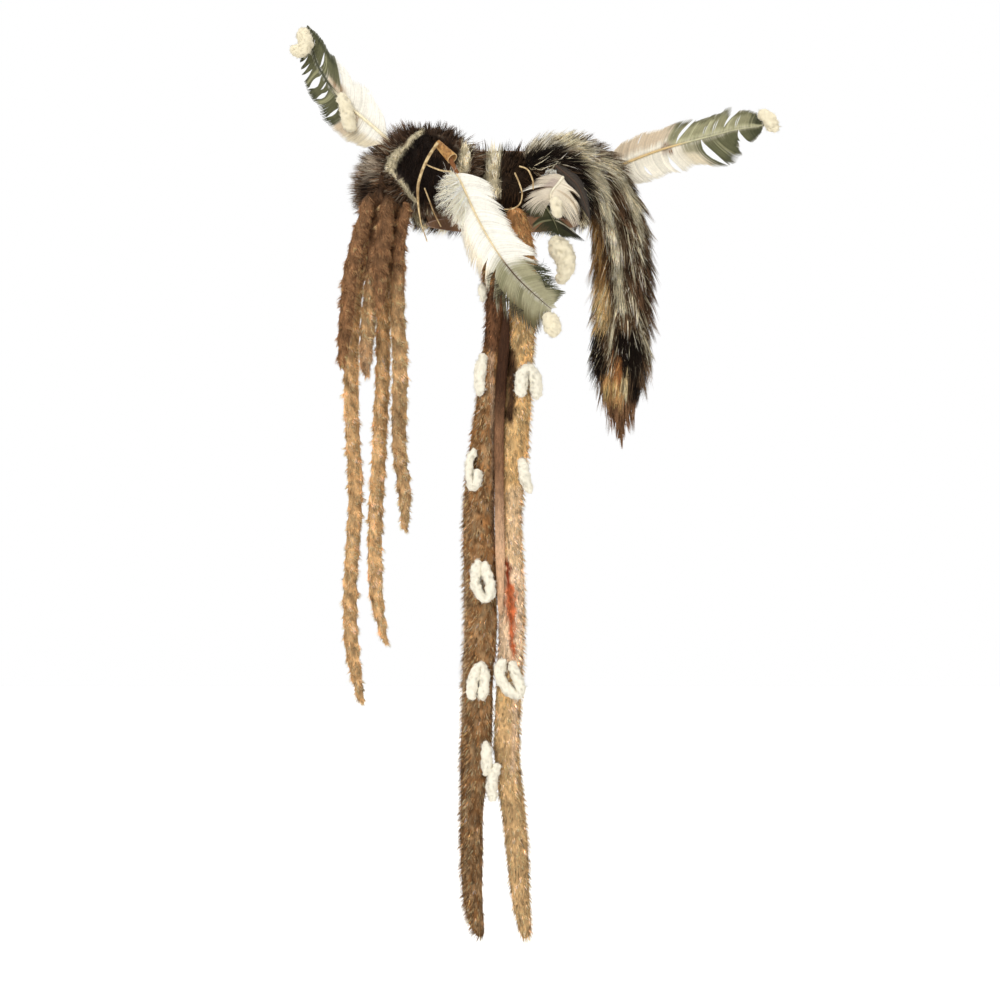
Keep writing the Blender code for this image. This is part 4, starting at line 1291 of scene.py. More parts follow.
def barb_sway(feather, side, at, out, length, rng):
    """How far barbs are pushed along the shaft, and how thin they have become."""
    sway = np.zeros((len(at), len(out)))
    thin = np.ones((len(at), len(out)))
    for slit in map(Slit._make, feather.slits):
        if slit.side == side:
            off = (at - slit.at) * length
            near = np.sign(off) * np.exp(-np.abs(off) / SLIT_REACH)
            rise = np.clip((out - slit.start) / (slit.end - slit.start), 0, 1)
            sway += near[:, None] * np.sin(rise * pi) * slit.gap
    for fray in map(Fray._make, feather.frays):
        if fray.side == side:
            within = step(at, fray.start - FRAY_EDGE, fray.start + FRAY_EDGE)
            within *= step(at, fray.end + FRAY_EDGE, fray.end - FRAY_EDGE)
            loose = within[:, None] * step(out, 1 - fray.depth, 1.1)
            sway += rng.normal(size=(len(at), 1)) * fray.sway * loose
            thin *= 1 - FRAY_THINNING * loose
    return sway, thin


def vane_of(feather, rows, side_name, column, sign, rng):
    """The barbs on one side of a feather."""
    plume = feather.plume
    length = distances_along(rows)[-1]
    at = (np.arange(plume.barbs) + 0.5) / plume.barbs
    out = np.linspace(0, 1, BARB_JOINTS)
    start = rows_at(rows, at * length)
    ahead = rows_at(rows, np.clip(at + LOOK, 0, 1) * length)[:, :3]
    behind = rows_at(rows, np.clip(at - LOOK, 0, 1) * length)[:, :3]
    along = unit(ahead - behind)
    across = unit(np.cross(along, FORWARD)) * sign
    if feather.rims:
        ends = rim_ends(start, at, feather.rims[side_name])
    else:
        ends = swept_ends(rows, at, start, along, across, column, plume.sweep)
    groups = rng.normal(size=plume.barbs // LUMP_BARBS + 1)
    lumps = np.repeat(groups, LUMP_BARBS)[: plume.barbs]
    uneven = plume.ragged * (0.5 * lumps + 0.5 * rng.normal(size=plume.barbs))
    chord = (ends - start[:, :3]) * (1 + uneven)[:, None]
    reach = np.linalg.norm(chord, axis=1)[:, None]
    sway, thin = barb_sway(feather, side_name, at, out, length, rng)
    sway = sway + plume.ragged * LUMP_PUSH * lumps[:, None] * out**3
    sway = sway - 2 * BARB_BOW * reach * (out - out**2)
    back = plume.fall * reach * out * (0.4 + 0.6 * out)
    back = back + RIPPLE * np.sin(at * RIPPLE_RATE + feather.seed)[:, None] * out
    scatter = SCATTER + FRAYED_SCATTER * (1 - thin)
    back = back + rng.normal(size=(plume.barbs, 1)) * scatter * out
    path = (
        start[:, None, :3]
        + chord[:, None] * out[None, :, None]
        + along[:, None] * sway[..., None]
        - FORWARD * (back + STAND_OFF)[..., None]
    )
    side, face = frames_of(path)
    spread = length / plume.barbs * SWEPT_WIDTH * BARB_OVERLAP / 2
    taper = np.clip((1 - out) / BARB_TAPER, 0.12, 1) ** 0.6
    half = np.maximum(spread, NARROWEST_BARB) * thin * taper
    points, faces = tubes(path, side, face, half, np.full(half.shape, BARB_THICKNESS), BARB_SIDES)
    station = at[:, None] + np.zeros((1, BARB_JOINTS))
    reached = out[None] + station * 0
    colours = zoned(feather.zones, side_name, station, reached, plume.base, rng)
    colours = colours * np.exp(rng.normal(size=(plume.barbs, 1, 1)) * BARB_SPECKLE)
    colours = np.repeat(colours.reshape(-1, 3), BARB_SIDES, axis=0)
    shares = np.repeat(np.tile(out, plume.barbs), BARB_SIDES)
    return points, faces, np.column_stack([colours, shares]), 0


def shaft_of(plume, rows):
    """A feather's tapering shaft."""
    places = np.linspace(0, distances_along(rows)[-1], SHAFT_JOINTS)
    spine = rows_at(rows, places)[None, :, :3]
    side, face = frames_of(spine)
    run = np.linspace(0, 1, SHAFT_JOINTS)
    half = plume.shaft * (1 - SHAFT_TAPER * run**1.2)[None]
    points, faces = tubes(spine, side, face, half, half * 0.9, SHAFT_SIDES)
    fade = step(run, plume.turn - SHAFT_FADE, plume.turn + SHAFT_FADE)
    colours = blend(np.array(plume.shaft_base), plume.shaft_tip, fade)
    colours = np.repeat(np.column_stack([colours, run]), SHAFT_SIDES, axis=0)
    return points, faces, colours, 1


def make_feather(feather):
    """A feather of single barbs on a shaft, laid on the front of its CAD solid."""
    rng = np.random.default_rng(feather.seed)
    x, z, left, right = np.array(feather.stations, float).T
    depth = fronts_of(feather.node, x, z)
    rows = np.column_stack([x, depth, z, left, right])
    parts = [vane_of(feather, rows, *vane, rng) for vane in VANES]
    parts.append(shaft_of(feather.plume, rows))
    parts += [strands_of(wisp, depth.mean(), rng) for wisp in feather.wisps]
    piece = piece_of(feather.node + "_barbs", parts, [BARBS, HORN])
    settle(piece, feather.node)


def strands_of(wisp, depth, rng):
    """Fine curled strands from one line to another."""

    def spots(line, shares):
        line = np.array(line, float)
        along = np.concatenate([[0], np.cumsum(np.hypot(*np.diff(line, axis=0).T))])
        places = np.clip(shares, 0, 1) * along[-1]
        return [np.interp(places, along, line[:, column]) for column in (0, 1)]

    share = rng.random(wisp.count)
    y = depth - wisp.front + rng.normal(size=wisp.count) * 1.2
    x, z = spots(wisp.roots, share)
    start = np.column_stack([x, y, z])
    x, z = spots(wisp.tips, share + rng.normal(size=wisp.count) * 0.08)
    end = np.column_stack([x, y + rng.normal(size=wisp.count) * 2, z])
    chord = (end - start) * (rng.random(wisp.count) ** 0.5)[:, None]
    run = np.linspace(0, 1, WISP_JOINTS)[None, :]
    side = unit(np.cross(chord, FORWARD))
    phase = rng.random((wisp.count, 1)) * tau
    waves = rng.uniform(0.6, 1.7, (wisp.count, 1))
    reach = wisp.curl * run * rng.normal(size=(wisp.count, 1))
    wave = reach * np.sin(phase + run * waves * tau) - reach * np.sin(phase)
    path = start[:, None] + chord[:, None] * run[..., None] + side[:, None] * wave[..., None]
    side, face = frames_of(path)
    half = wisp.width * (1 - 0.7 * run) * np.ones((wisp.count, 1))
    points, faces = tubes(path, side, face, half, half * 0.7, WISP_SIDES)
    colours = np.array(wisp.colour) * np.exp(rng.normal(size=(wisp.count, 1)) * 0.1)
    colours = np.minimum(np.repeat(colours, WISP_JOINTS * WISP_SIDES, axis=0), BRIGHTEST)
    return points, faces, np.column_stack([colours, np.ones(len(colours))]), 0


# Stations on the shafts: x and z, and how far the vanes reach there to the left and to the
# right, as seen from the front, looking from the quill's base to its tip. A rim's points are
# the place on the shaft where a barb starts, and the x and z at which it ends.
UPPER_LEFT = (
    (-125, 47, 2, 2), (-136.5, 58, 17, 14), (-152, 71.5, 26, 28), (-169, 86, 27, 27),
    (-187, 105, 25, 25), (-199, 122, 21, 21), (-207, 136, 16, 18), (-213, 157, 8, 11),
    (-218, 180, 1, 1),
)
UPPER_LEFT_RIMS = {
    "right": (
        (0, -131.5, 56.5), (0.05, -132.5, 77.5), (0.1, -137, 85), (0.16, -142.5, 93.5),
        (0.22, -146.5, 105), (0.27, -154, 111), (0.32, -162.5, 115.5), (0.37, -171.5, 124.5),
        (0.42, -177.5, 134.5), (0.46, -186, 142), (0.54, -190, 146), (0.62, -196.5, 153.5),
        (0.7, -198.5, 160), (0.8, -204.5, 168), (0.9, -212, 175.5), (1, -218, 180),
    ),
    "left": (
        (0, -134.5, 45), (0.09, -154, 40.5), (0.215, -174.5, 48.5), (0.35, -191.5, 63),
        (0.43, -200.5, 74.5), (0.504, -207, 90), (0.627, -217.5, 103.5), (0.727, -223, 120),
        (0.8, -224.5, 128), (0.9, -226, 139.5), (1, -221, 175.5),
    ),
}
RIGHT = (
    (114, 16, 2, 2), (130, 22.5, 17, 22), (153, 32, 22, 29), (179, 41.5, 22, 32),
    (200, 47.5, 23, 32), (219, 52.5, 22, 34), (240.5, 58, 22, 35), (262, 63.5, 20, 24),
    (285.5, 67, 10, 14), (294, 69, 2, 2),
)
RIGHT_RIMS = {
    "left": (
        (0, 119.5, 38.5), (0.05, 126.5, 41), (0.1, 134.5, 49.5), (0.17, 150.5, 58),
        (0.25, 163, 62.5), (0.32, 179, 65.5), (0.38, 193, 71), (0.43, 205.5, 75.5),
        (0.455, 216.5, 76.5), (0.47, 213.5, 71.5), (0.52, 221.5, 75), (0.6, 235, 79.5),
        (0.68, 248.5, 84), (0.71, 253.5, 89), (0.73, 260.5, 90), (0.75, 259.5, 80),
        (0.8, 267.5, 86), (0.87, 277, 86), (0.93, 287, 83), (0.97, 292, 74.5), (1, 294, 69.5),
    ),
    "right": (
        (0, 126.5, 5.5), (0.094, 152, 3), (0.2, 168.5, 5.5), (0.28, 181, 11), (0.36, 193, 16.5),
        (0.42, 206.5, 16.5), (0.48, 217.5, 24), (0.53, 229, 24.5), (0.565, 241, 22),
        (0.6, 254.5, 23), (0.62, 255.5, 25), (0.66, 261.5, 28), (0.7, 269, 35), (0.76, 267.5, 43),
        (0.83, 266.5, 52.5), (0.86, 278, 48.5), (0.88, 281.5, 50.5), (0.92, 285.5, 54),
        (0.97, 292, 60.5), (1, 294, 68),
    ),
}
HANGING = (
    (-50, 3, 2, 2), (-44, -7.5, 18, 9), (-38, -21, 27, 18), (-23.3, -51.7, 30, 24),
    (-7.4, -78.7, 29, 31), (8.6, -100.8, 35, 31), (17.2, -110.6, 30, 33), (27, -120.4, 33, 38),
    (38, -130.3, 27, 34), (47.9, -138.9, 16, 24), (54, -143.8, 5, 6),
)
PALE = (
    (67, 2.4, 2, 2), (62, -4.7, 12, 12), (56, -12.3, 20, 20), (53, -19, 20, 20), (54, -25.6, 1, 1),
)
PALE_RIMS = {
    "right": (
        (0, 57, 6), (0.12, 45, 3.5), (0.28, 36, -1), (0.38, 30, -7), (0.44, 17, -16),
        (0.47, 17, -17), (0.5, 31, -15), (0.62, 25, -22), (0.78, 22.5, -31), (0.9, 30, -38),
        (1, 44, -42),
    ),
    "left": (
        (0, 68, -2), (0.12, 74, -10), (0.25, 81, -15), (0.36, 86, -22), (0.42, 82, -21),
        (0.5, 87, -34), (0.62, 85.5, -43), (0.72, 85, -54), (0.8, 79, -52), (0.88, 73, -47),
        (0.95, 66, -41), (1, 58, -38),
    ),
}
CURLED = (
    (46, -24, 1.5, 1.5), (53, -35, 12, 12), (58, -44.5, 12, 12), (63, -57, 1, 1),
)
CURLED_RIMS = {
    "right": (
        (0, 36, -24), (0.15, 29, -29), (0.3, 27, -37), (0.4, 36, -43), (0.5, 32, -49),
        (0.62, 35, -54.5), (0.75, 46, -57.5), (0.9, 56, -61), (1, 64, -63),
    ),
    "left": (
        (0, 49, -25), (0.15, 57, -34), (0.3, 63, -42), (0.45, 70, -48), (0.6, 81, -57.5),
        (0.72, 92, -67), (0.8, 85, -66), (0.9, 74, -63), (1, 66, -62),
    ),
}
BACK_FEATHER = (
    (58, 15, 1.5, 1.5), (70, 6, 6, 6), (83, -6, 6.5, 6.5), (90, -22, 5, 5), (97, -43, 0.8, 0.8),
)
DOWN_ROOTS = ((-52, 3), (-48, -2), (-39, -22), (-38, -30))
DOWN_TIPS = (
    (-56, 5), (-65, 0), (-72, -9), (-75, -20), (-74, -31), (-69, -41), (-60, -49), (-55, -56),
    (-45, -58),
)
LOW_CURL_ROOTS = ((-10, -104), (-2, -122), (10, -136), (24, -146))
LOW_CURL_TIPS = ((-22, -112), (-19, -128), (-6, -143), (12, -153))
EDGE_CURL_ROOTS = ((34, -98), (42, -108), (48, -122))
EDGE_CURL_TIPS = ((50, -92), (56, -104), (61, -119))


FEATHERS = (
    Feather(
        "feather_upper_left", "white_feather", 41, UPPER_LEFT,
        Plume(140, 0.8, 0.10, 0.025, 2.0, QUILL_CREAM, DARK_OLIVE, 0.5, WHITE),
        (
            ("left", 0.0, 0.3, 0.5, 1, BEIGE, 0.05),
            ("left", 0.27, 0.38, 0, 1, WARM_BEIGE, 0.03),
            ("left", 0.37, 1, 0, 1, MID_OLIVE, 0.012),
            ("left", 0.37, 1, 0.82, 1, DARK_OLIVE, 0.012),
            ("left", 0.5, 0.54, 0.2, 0.9, PALE_OLIVE, 0.008),
            ("left", 0.68, 0.71, 0.1, 0.9, PALE_OLIVE, 0.008),
            ("right", 0.42, 0.60, 0, 0.35, WARM_BEIGE, 0.03),
            ("right", 0.44, 0.455, 0.1, 0.3, STAIN, 0.008),
            ("right", 0.52, 0.535, 0.15, 0.35, STAIN, 0.008),
            ("right", 0.46, 1, 0.3, 1, MID_OLIVE, 0.02),
            ("right", 0.60, 1, 0, 1, MID_OLIVE, 0.02),
            ("right", 0.64, 0.66, 0.1, 0.9, PALE_OLIVE, 0.008),
            ("right", 0.48, 1, 0.78, 1, DARK_OLIVE, 0.02),
            ("both", 0.9, 1, 0, 1, DARK_OLIVE, 0.03),
        ),
        (
            ("left", 0.43, 0.3, 0.85, 2), ("left", 0.56, 0.25, 0.85, 3),
            ("left", 0.6, 0.05, 0.45, 1.5), ("left", 0.66, 0.1, 0.9, 5),
            ("left", 0.74, 0.3, OPEN, 4), ("left", 0.8, 0.3, OPEN, 3),
            ("left", 0.86, 0.3, OPEN, 3), ("right", 0.22, 0.6, OPEN, 1.5),
            ("right", 0.46, 0.3, 0.95, 1), ("right", 0.7, 0.05, 0.8, 2.5),
            ("right", 0.85, 0.2, 0.8, 1.5),
        ),
        rims=UPPER_LEFT_RIMS,
    ),
    Feather(
        "feather_right", "white_feather", 42, RIGHT,
        Plume(150, 0.75, 0.09, 0.025, 1.7, QUILL_TAN, LIGHT_OLIVE, 0.5, CREAM_WHITE),
        (
            ("left", 0, 0.45, 0.35, 1, WARM_BEIGE, 0.1),
            ("left", 0.42, 1, 0, 1, LIGHT_OLIVE, 0.03),
            ("left", 0.40, 1, 0.25, 1, GREY_OLIVE, 0.03),
            ("left", 0.52, 0.55, 0.2, 0.9, LIGHT_OLIVE, 0.01),
            ("left", 0.64, 0.66, 0.2, 0.9, LIGHT_OLIVE, 0.01),
            ("left", 0.77, 0.79, 0.2, 0.9, LIGHT_OLIVE, 0.01),
            ("left", 0.38, 1, 0.85, 1, RIM_OLIVE, 0.03),
            ("right", 0.48, 0.60, 0.2, 1, BEIGE, 0.04),
            ("right", 0.50, 1, 0, 0.4, srgb(158, 153, 126), 0.03),
            ("right", 0.58, 1, 0.15, 1, MID_OLIVE, 0.02),
            ("right", 0.68, 0.7, 0.2, 0.9, PALE_OLIVE, 0.01),
            ("right", 0.57, 1, 0.85, 1, DARK_OLIVE, 0.02),
            ("both", 0.37, 0.43, 0, 0.15, STAIN, 0.015),
            ("both", 0.92, 1, 0.3, 1, DARK_OLIVE, 0.03),
        ),
        (
            ("left", 0.22, 0.6, 0.9, 1.5), ("left", 0.463, 0.1, 1.3, 4),
            ("left", 0.63, 0.1, 0.8, 1.5), ("left", 0.69, 0.1, 0.9, 2),
            ("left", 0.745, 0.3, OPEN, 3), ("left", 0.83, 0.1, 0.9, 1.5),
            ("right", 0.24, 0.35, 0.8, 2), ("right", 0.4, 0.3, 1.15, 3),
            ("right", 0.612, 0.05, 1.02, 5), ("right", 0.845, 0.05, OPEN, 4),
        ),
        rims=RIGHT_RIMS,
    ),
    Feather(
        "feather_hanging", "white_feather", 43, HANGING,
        Plume(190, 0.8, 0.07, 0.045, 1.3, QUILL_PALE, QUILL_BROWN, 0.58, WHITE),
        (
            ("right", 0.25, 0.58, 0.6, 1, WARM_WHITE, 0.08),
            ("right", 0.56, 1, 0, 1, SAGE, 0.05),
            ("left", 0.62, 1, 0, 0.5, SAGE, 0.05),
            ("left", 0.60, 1, 0.45, 1, SAGE, 0.04),
            ("left", 0.62, 0.9, 0.7, 1, OLIVE, 0.03),
            ("left", 0.64, 0.95, 0.85, 1, DARK_OLIVE, 0.03),
            ("left", 0.74, 0.77, 0.15, 0.8, GREY_OLIVE, 0.012),
            ("right", 0.62, 0.66, 0.1, 0.6, GREY_OLIVE, 0.012),
            ("right", 0.62, 1, 0.55, 1, srgb(118, 110, 78), 0.06),
            ("right", 0.76, 0.79, 0.1, 0.6, srgb(122, 118, 88), 0.012),
            ("right", 0.66, 1, 0.85, 1, srgb(66, 56, 38), 0.04),
        ),
        (
            ("right", 0.22, 0.75, OPEN, 3), ("right", 0.42, 0.65, OPEN, 4),
            ("right", 0.50, 0.45, OPEN, 6), ("right", 0.58, 0.4, OPEN, 8),
            ("right", 0.66, 0.55, OPEN, 5), ("left", 0.12, 0.65, OPEN, 3),
            ("left", 0.2, 0.75, OPEN, 2), ("left", 0.57, 0.65, OPEN, 6),
            ("left", 0.63, 0.5, OPEN, 6), ("left", 0.7, 0.5, OPEN, 5),
            ("left", 0.8, 0.6, OPEN, 3),
        ),
        frays=(
            ("right", 0.0, 0.5, 0.35, 1.6), ("right", 0.5, 0.75, 0.5, 3.0),
            ("right", 0.75, 1, 0.3, 1.4), ("left", 0.0, 0.25, 0.25, 1.5),
            ("left", 0.58, 0.85, 0.45, 2.6),
        ),
        wisps=(
            Wisp(DOWN_ROOTS, DOWN_TIPS, 320, 2.6, 0.3, 1.5, srgb(250, 240, 216)),
            Wisp(DOWN_ROOTS, DOWN_TIPS, 170, 4.0, 0.22, 3, srgb(255, 251, 236)),
            Wisp(LOW_CURL_ROOTS, LOW_CURL_TIPS, 60, 1.6, 0.28, 0.8, srgb(62, 54, 36)),
            Wisp(EDGE_CURL_ROOTS, EDGE_CURL_TIPS, 45, 2.6, 0.34, 1, DARK_OLIVE),
        ),
    ),
    Feather(
        "feather_pale", "white_feather", 44, PALE,
        Plume(90, 0.45, 0.2, 0.04, 1.7, QUILL_WHITE, QUILL_WHITE, 0.5, PINK_BEIGE),
        (
            ("left", 0.0, 1, 0, 1, srgb(232, 222, 202), 0.05),
            ("left", 0.3, 0.34, 0.2, 1, srgb(190, 170, 140), 0.02),
            ("left", 0.55, 0.6, 0.2, 1, srgb(198, 180, 152), 0.02),
            ("left", 0.38, 0.46, 0.55, 1, srgb(120, 104, 84), 0.02),
            ("right", 0.2, 0.5, 0, 0.4, srgb(186, 170, 158), 0.06),
            ("right", 0.42, 0.48, 0.6, 1, WHITE, 0.02),
            ("right", 0.48, 0.54, 0.1, 0.8, srgb(140, 122, 104), 0.02),
        ),
        (
            ("right", 0.485, 0.3, OPEN, 3), ("left", 0.43, 0.5, OPEN, 3),
            ("right", 0.7, 0.6, OPEN, 3),
        ),
        frays=(("left", 0.3, 1, 0.3, 1.2), ("right", 0.3, 1, 0.3, 1.0)),
        rims=PALE_RIMS,
    ),
    Feather(
        "feather_olive", "olive_feather", 45, CURLED,
        Plume(90, 0.45, -0.32, 0.03, 0.9, PALE_OLIVE, OLIVE, 0.9, DARK_OLIVE),
        (
            ("right", 0, 0.45, 0.2, 0.8, OLIVE, 0.08),
            # The next two zones are painted highlights: pale lines across the curled vanes.
            ("right", 0.56, 0.6, 0.1, 1, PALE_OLIVE, 0.01),
            ("left", 0.55, 0.6, 0.2, 1, QUILL_WHITE, 0.008),
            ("left", 0.66, 0.8, 0.2, 1, srgb(46, 44, 32), 0.02),
        ),
        (
            ("right", 0.42, 0.5, OPEN, 3), ("right", 0.6, 0.4, OPEN, 2),
            ("left", 0.6, 0.6, OPEN, 2),
        ),
        rims=CURLED_RIMS,
    ),
    Feather(
        "feather_grey", "grey_feather", 46, BACK_FEATHER,
        Plume(60, 0.9, 0.1, 0.04, 0.8, QUILL_BROWN, QUILL_BROWN, 0.5, srgb(70, 62, 54)),
        (("both", 0, 1, 0.7, 1, srgb(48, 42, 37), 0.1),),
        (("left", 0.5, 0.6, OPEN, 2), ("right", 0.6, 0.6, OPEN, 2)),
        wisps=(
            Wisp(((60, 22), (64, 16)), ((28, 13), (34, 20), (46, 24), (58, 27)), 90, 2, 0.2, 2,
                 srgb(170, 160, 138)),
            Wisp(((50, 12), (60, 10)), ((45, 2), (52, 0), (60, 3)), 70, 1.5, 0.32, 3,
                 srgb(255, 252, 240)),
            Wisp(((62, 20), (58, 15)), ((53, 9), (50, 7)), 40, 0.3, 0.3, 3.4, QUILL_WHITE),
        ),
    ),
)


# ---------------------------------------------------------------- wool

WOOL_PIECES = {
    "cream_wool": (
        "wool_tuft_left", "wool_wad", "wool_tuft_right", "wool_tuft_hanging", "wool_puff",
        "wool_fluff",
    ),
    "white_wool": tuple(f"wool_tie_{number}" for number in range(1, 11)),
}
WOOL_TONES = {
    "cream_wool": tone((236, 226, 198), (252, 247, 230)),
    "white_wool": tone((240, 234, 216), (255, 252, 243)),
}
WOOL_LOFT = 1.6  # how far the teased wool swells beyond its rope, in mm
WOOL_LUMP, LUMP_HEIGHT = 5, 2.0  # the size of its lumps, in mm
WOOL_SPECKLE = 0.03
WOOL_FIBRES = 0.9  # loose fibres on each square mm
# Grooves where a roving is wound on itself: half their width and their depth, and their lines.
GROOVE_HALF, GROOVE_DEPTH = 1.6, 2.6
GROOVES = {"wool_puff": ((59, -78.5), (69, -78.5), (71, -85), (63, -92))}


def wool_finish():
    wool = Finish("teased_wool", Roughness=0.95, Specular_IOR_Level=0.1, Sheen_Weight=0.25)
    cloud = wool.noise(260, detail=5)
    fibres = wool.noise(1400, detail=4)
    soil = wool.range(cloud, 0.62, 0.8) * 0.35
    wool.colour(wool.mix(soil, wool.painted(), srgb(214, 196, 160)))
    wool.bump(fibres + cloud, 0.0006, 0.7)
    return wool.material


def lumpy(points, normals, size, height):
    """Soft lumps, in mm."""
    heights = [noise.fractal(Vector(p) / size, 1.0, 2.2, 3) * height for p in points]
    return points + normals * np.array(heights)[:, None]


def tease_wool(node, slot, seed):
    """A rope of wool, swollen and lumpy, in a haze of loose fibres."""
    skin = skin_of(node, rounds=2, levels=2, sink=-WOOL_LOFT)
    rng = np.random.default_rng(seed)
    skin.points = lumpy(skin.points, skin.normals, WOOL_LUMP, LUMP_HEIGHT)
    if node in GROOVES:
        off, _ = nearest_on(GROOVES[node], skin.points[:, 0], skin.points[:, 2])
        skin.sunk(GROOVE_DEPTH * step(off, GROOVE_HALF, 0.3) * facing_front(skin.normals))
    shades, _ = all_of(WOOL_TONES[slot], len(skin.points))
    parts = [(skin.points, skin.faces, np.column_stack([shades, np.zeros(len(shades))]), 0)]
    count = int(skin.double_areas().sum() / 2 * WOOL_FIBRES)
    places, normals = skin.roots(count, rng)
    coat = Coat(count, 1.5, 6, 0.4, 20, 28, 0.6, 3, 0.6)
    path = grow(places, normals, coat, rng.normal(size=(count, 3)), rng, tufts(places, rng), 2)
    points, faces, shares = hairs(path, normals, coat.width)
    roots, tips = all_of(WOOL_TONES[slot], count)
    roots = mottled(roots, rng, WOOL_SPECKLE)
    tips = np.minimum(mottled(tips, rng, WOOL_SPECKLE), 1)
    parts.append((points, faces, hair_colours(roots, tips, shares), 0))
    piece = piece_of(node + "_fleece", parts, [WOOL])
    settle(piece, node)


def tease_all_wool():
    seed = 50
    for slot, nodes in WOOL_PIECES.items():
        for node in nodes:
            seed += 1
            tease_wool(node, slot, seed)


# ---------------------------------------------------------------- tube, thread and ring

def rawhide_finish():
    hide = Finish("rolled_rawhide", Specular_IOR_Level=0.4)
    grain = hide.noise(420, detail=5)
    specks = hide.noise(1300, detail=2)
    stain = hide.noise(110, detail=3)
    brown = hide.mix(hide.range(grain, 0.3, 0.7), srgb(126, 86, 42), srgb(182, 134, 74))
    worn = hide.mix(hide.range(stain, 0.5, 0.75), brown, srgb(206, 162, 98))
    hide.colour(hide.mix(hide.range(specks, 0.66, 0.74) * 0.8, worn, srgb(74, 44, 20)))
    hide.roughness(hide.range(stain, 0.3, 0.7, 0.42, 0.62))
    hide.bump(grain + specks * 0.5, 0.0004)
    return hide.material


def rim_finish():
    rim = Finish("rawhide_rim", Roughness=0.5)
    grain = rim.noise(800, detail=3)
    rim.colour(rim.mix(grain, srgb(216, 178, 120), srgb(240, 212, 160)))
    rim.bump(grain, 0.0002)
    return rim.material


def thread_finish():
    thread = Finish("binding_thread", Roughness=0.7)
    coarse = thread.noise(380, detail=3)
    fine = thread.noise(2600, detail=2)
    thread.colour(thread.mix(coarse, srgb(110, 66, 34), srgb(168, 112, 62)))
    thread.bump(fine + coarse, 0.0003)
    return thread.material


def ring_finish():
    hide = Finish("ring_leather", Specular_IOR_Level=0.35)
    grain = hide.noise(340, detail=6)
    cloud = hide.noise(28, detail=3)
    tone = hide.mix(hide.range(cloud, 0.3, 0.7), srgb(92, 64, 42), srgb(130, 96, 66))
    hide.colour(hide.mix(hide.range(grain, 0.55, 0.7) * 0.5, tone, srgb(66, 44, 28)))
    hide.roughness(hide.range(cloud, 0.3, 0.7, 0.55, 0.8))
    hide.bump(grain, 0.0006)
    return hide.material


TUBE_BACK, TUBE_MOUTH = Vector((-71.5, 0, 38)), Vector((-52, 0, 18))
TUBE_RADIUS, TUBE_WALL, TUBE_BORE, TUBE_SOFTNESS = 6.6, 1.2, 16, 0.35
TUBE_TAPER = 0.62  # its back end's radius, as a share of its mouth's
TUBE_SLANT = 6  # how much shorter the near wall is than the far one at the mouth, in mm
QUILL_START, QUILL_END = Vector((-57.5, 0, 22)), Vector((-48, -1.5, 1.5))
QUILL_RADIUS, THREAD_RADIUS, THREAD_PITCH, THREAD_STEPS = 2.2, 0.42, 0.95, 20


def stand(start, end, node):
    """The matrix that stands a piece modelled along +Z on a line, at its CAD solid's depth."""
    low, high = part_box(node)
    middle = (low.y + high.y) / 2 / MM
    shift = Vector((0, middle - (start.y + end.y) / 2, 0))
    turn = (end - start).to_track_quat("Z", "Y").to_matrix().to_4x4()
    return Matrix.Translation((start + shift) * MM) @ turn


def active(name, matrix):
    made = bpy.context.active_object
    made.name = made.data.name = name
    made.data.transform(matrix)
    made.matrix_world = Matrix.Identity(4)
    return made


def rod(vertices, radius, length):
    """A cylinder that stands on the origin. Its sizes are in mm."""
    deselect()
    bpy.ops.mesh.primitive_cylinder_add(
        vertices=vertices, radius=radius * MM, depth=length * MM, location=(0, 0, length / 2 * MM)
    )
    bpy.ops.object.transform_apply(location=True, rotation=True, scale=True)
    return bpy.context.active_object


def select_faces(piece, test):
    """Selects the faces that pass a test on their middle and normal, and leaves edit mode on."""
    mode("EDIT")
    bpy.ops.mesh.select_mode(type="FACE")
    bpy.ops.mesh.select_all(action="DESELECT")
    mode("OBJECT")
    for polygon in piece.data.polygons:
        polygon.select = test(polygon.center, polygon.normal)
    mode("EDIT")


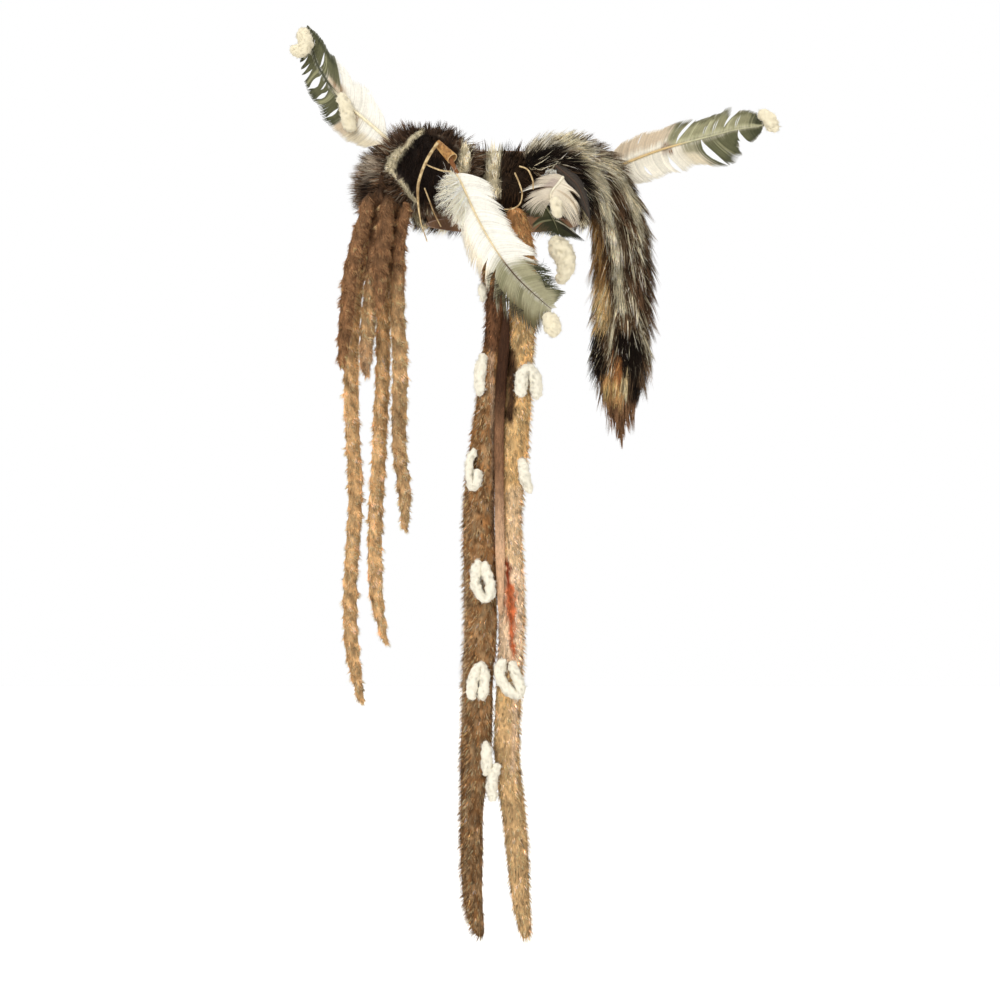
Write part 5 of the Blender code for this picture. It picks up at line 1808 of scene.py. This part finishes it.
def make_tube():
    """The rolled tube: a cylinder with a bore pushed into its mouth and softened rims."""
    length = (TUBE_MOUTH - TUBE_BACK).length
    tube = rod(40, TUBE_RADIUS, length)
    top = length * MM - 0.0001
    select_faces(tube, lambda middle, normal: normal.z > 0.9 and middle.z > top)
    bpy.ops.mesh.inset(thickness=TUBE_WALL * MM)
    bpy.ops.mesh.extrude_region_move(
        TRANSFORM_OT_translate={"value": (0, 0, -TUBE_BORE * MM)}
    )
    mode("OBJECT")
    tube.data.materials.append(rawhide_finish())
    tube.data.materials.append(rim_finish())
    for polygon in tube.data.polygons:
        polygon.material_index = int(polygon.center.z > top and len(polygon.vertices) == 4)
    rounded = tube.modifiers.new("rounded", "BEVEL")
    rounded.width, rounded.segments, rounded.limit_method = TUBE_SOFTNESS * MM, 3, "ANGLE"
    bpy.ops.object.modifier_apply(modifier=rounded.name)
    points = read(tube.data.vertices, "co", 3)
    rise = points[:, 2] / (length * MM)
    angle = np.arctan2(points[:, 1], points[:, 0])
    off_axis = np.hypot(points[:, 0], points[:, 1])
    rim = (rise > 0.96) & (off_axis > 0.8 * (TUBE_RADIUS - TUBE_WALL) * MM)
    swell = (TUBE_TAPER + (1 - TUBE_TAPER) * rise) * (1 + 0.03 * np.sin(angle * 2 + 1))
    points[:, :2] *= swell[:, None]
    standing = stand(TUBE_BACK, TUBE_MOUTH, "socket_tube")
    near = np.array(standing.to_3x3().inverted() @ Vector(FORWARD))
    facing = (points[:, :2] @ near[:2]) / (TUBE_RADIUS * MM)
    points[:, 2] -= rim * TUBE_SLANT * MM * (0.5 + 0.5 * facing)
    tube.data.vertices.foreach_set("co", points.astype(np.float32).ravel())
    bpy.ops.object.shade_smooth_by_angle(angle=radians(40))
    tube = active("socket_tube_hide", standing)
    settle(tube, "socket_tube")


def make_wrap():
    """The quill in its thread: a core, and one thread wound up it in a helix."""
    length = (QUILL_END - QUILL_START).length
    core = rod(20, QUILL_RADIUS, length)
    core.data.materials.append(thread_finish())
    matrix = stand(QUILL_START, QUILL_END, "quill_wrap")
    bpy.ops.mesh.primitive_circle_add(
        vertices=8, radius=THREAD_RADIUS * MM, location=(QUILL_RADIUS * MM, 0, 0),
        rotation=(pi / 2, 0, 0), fill_type="NGON",
    )
    bpy.ops.object.transform_apply(location=True, rotation=True, scale=True)
    turns = int((length - 2 * THREAD_RADIUS) / THREAD_PITCH)
    edit_all()
    bpy.ops.transform.translate(value=(0, 0, THREAD_RADIUS * MM))
    mode("OBJECT")
    thread = bpy.context.active_object
    wound = thread.modifiers.new("wound", "SCREW")
    wound.screw_offset, wound.iterations = THREAD_PITCH * MM, turns
    wound.steps = wound.render_steps = THREAD_STEPS
    wound.merge_threshold = MERGE
    bpy.ops.object.modifier_apply(modifier=wound.name)
    thread.data.materials.append(core.data.materials[0])
    core.select_set(True)
    bpy.context.view_layer.objects.active = core
    bpy.ops.object.join()
    edit_all()
    bpy.ops.mesh.normals_make_consistent(inside=False)
    mode("OBJECT")
    bpy.ops.object.shade_smooth_by_angle(angle=radians(50))
    settle(active("quill_wrap_thread", matrix), "quill_wrap")


def finish_ring():
    for slot in NODES["headband_hide"].material_slots:
        slot.material = ring_finish()


def lay_floor():
    deselect()
    bpy.ops.mesh.primitive_grid_add(x_subdivisions=4, y_subdivisions=4, size=2 * FLOOR_HALF)
    floor = bpy.context.active_object
    floor.name = "floor"
    floor.location = (0, 0, FLOOR_Z)
    floor.data.materials.append(floor_finish())


deselect()
place_camera()
light_room()
lay_floor()
lay_thongs()
FUR = fur_finish("hair", 0.62, 0.01)
BARBS, HORN, WOOL = feather_finish(), quill_finish(), wool_finish()
dress_fur()
for feather in FEATHERS:
    make_feather(feather)
tease_all_wool()
make_tube()
make_wrap()
finish_ring()
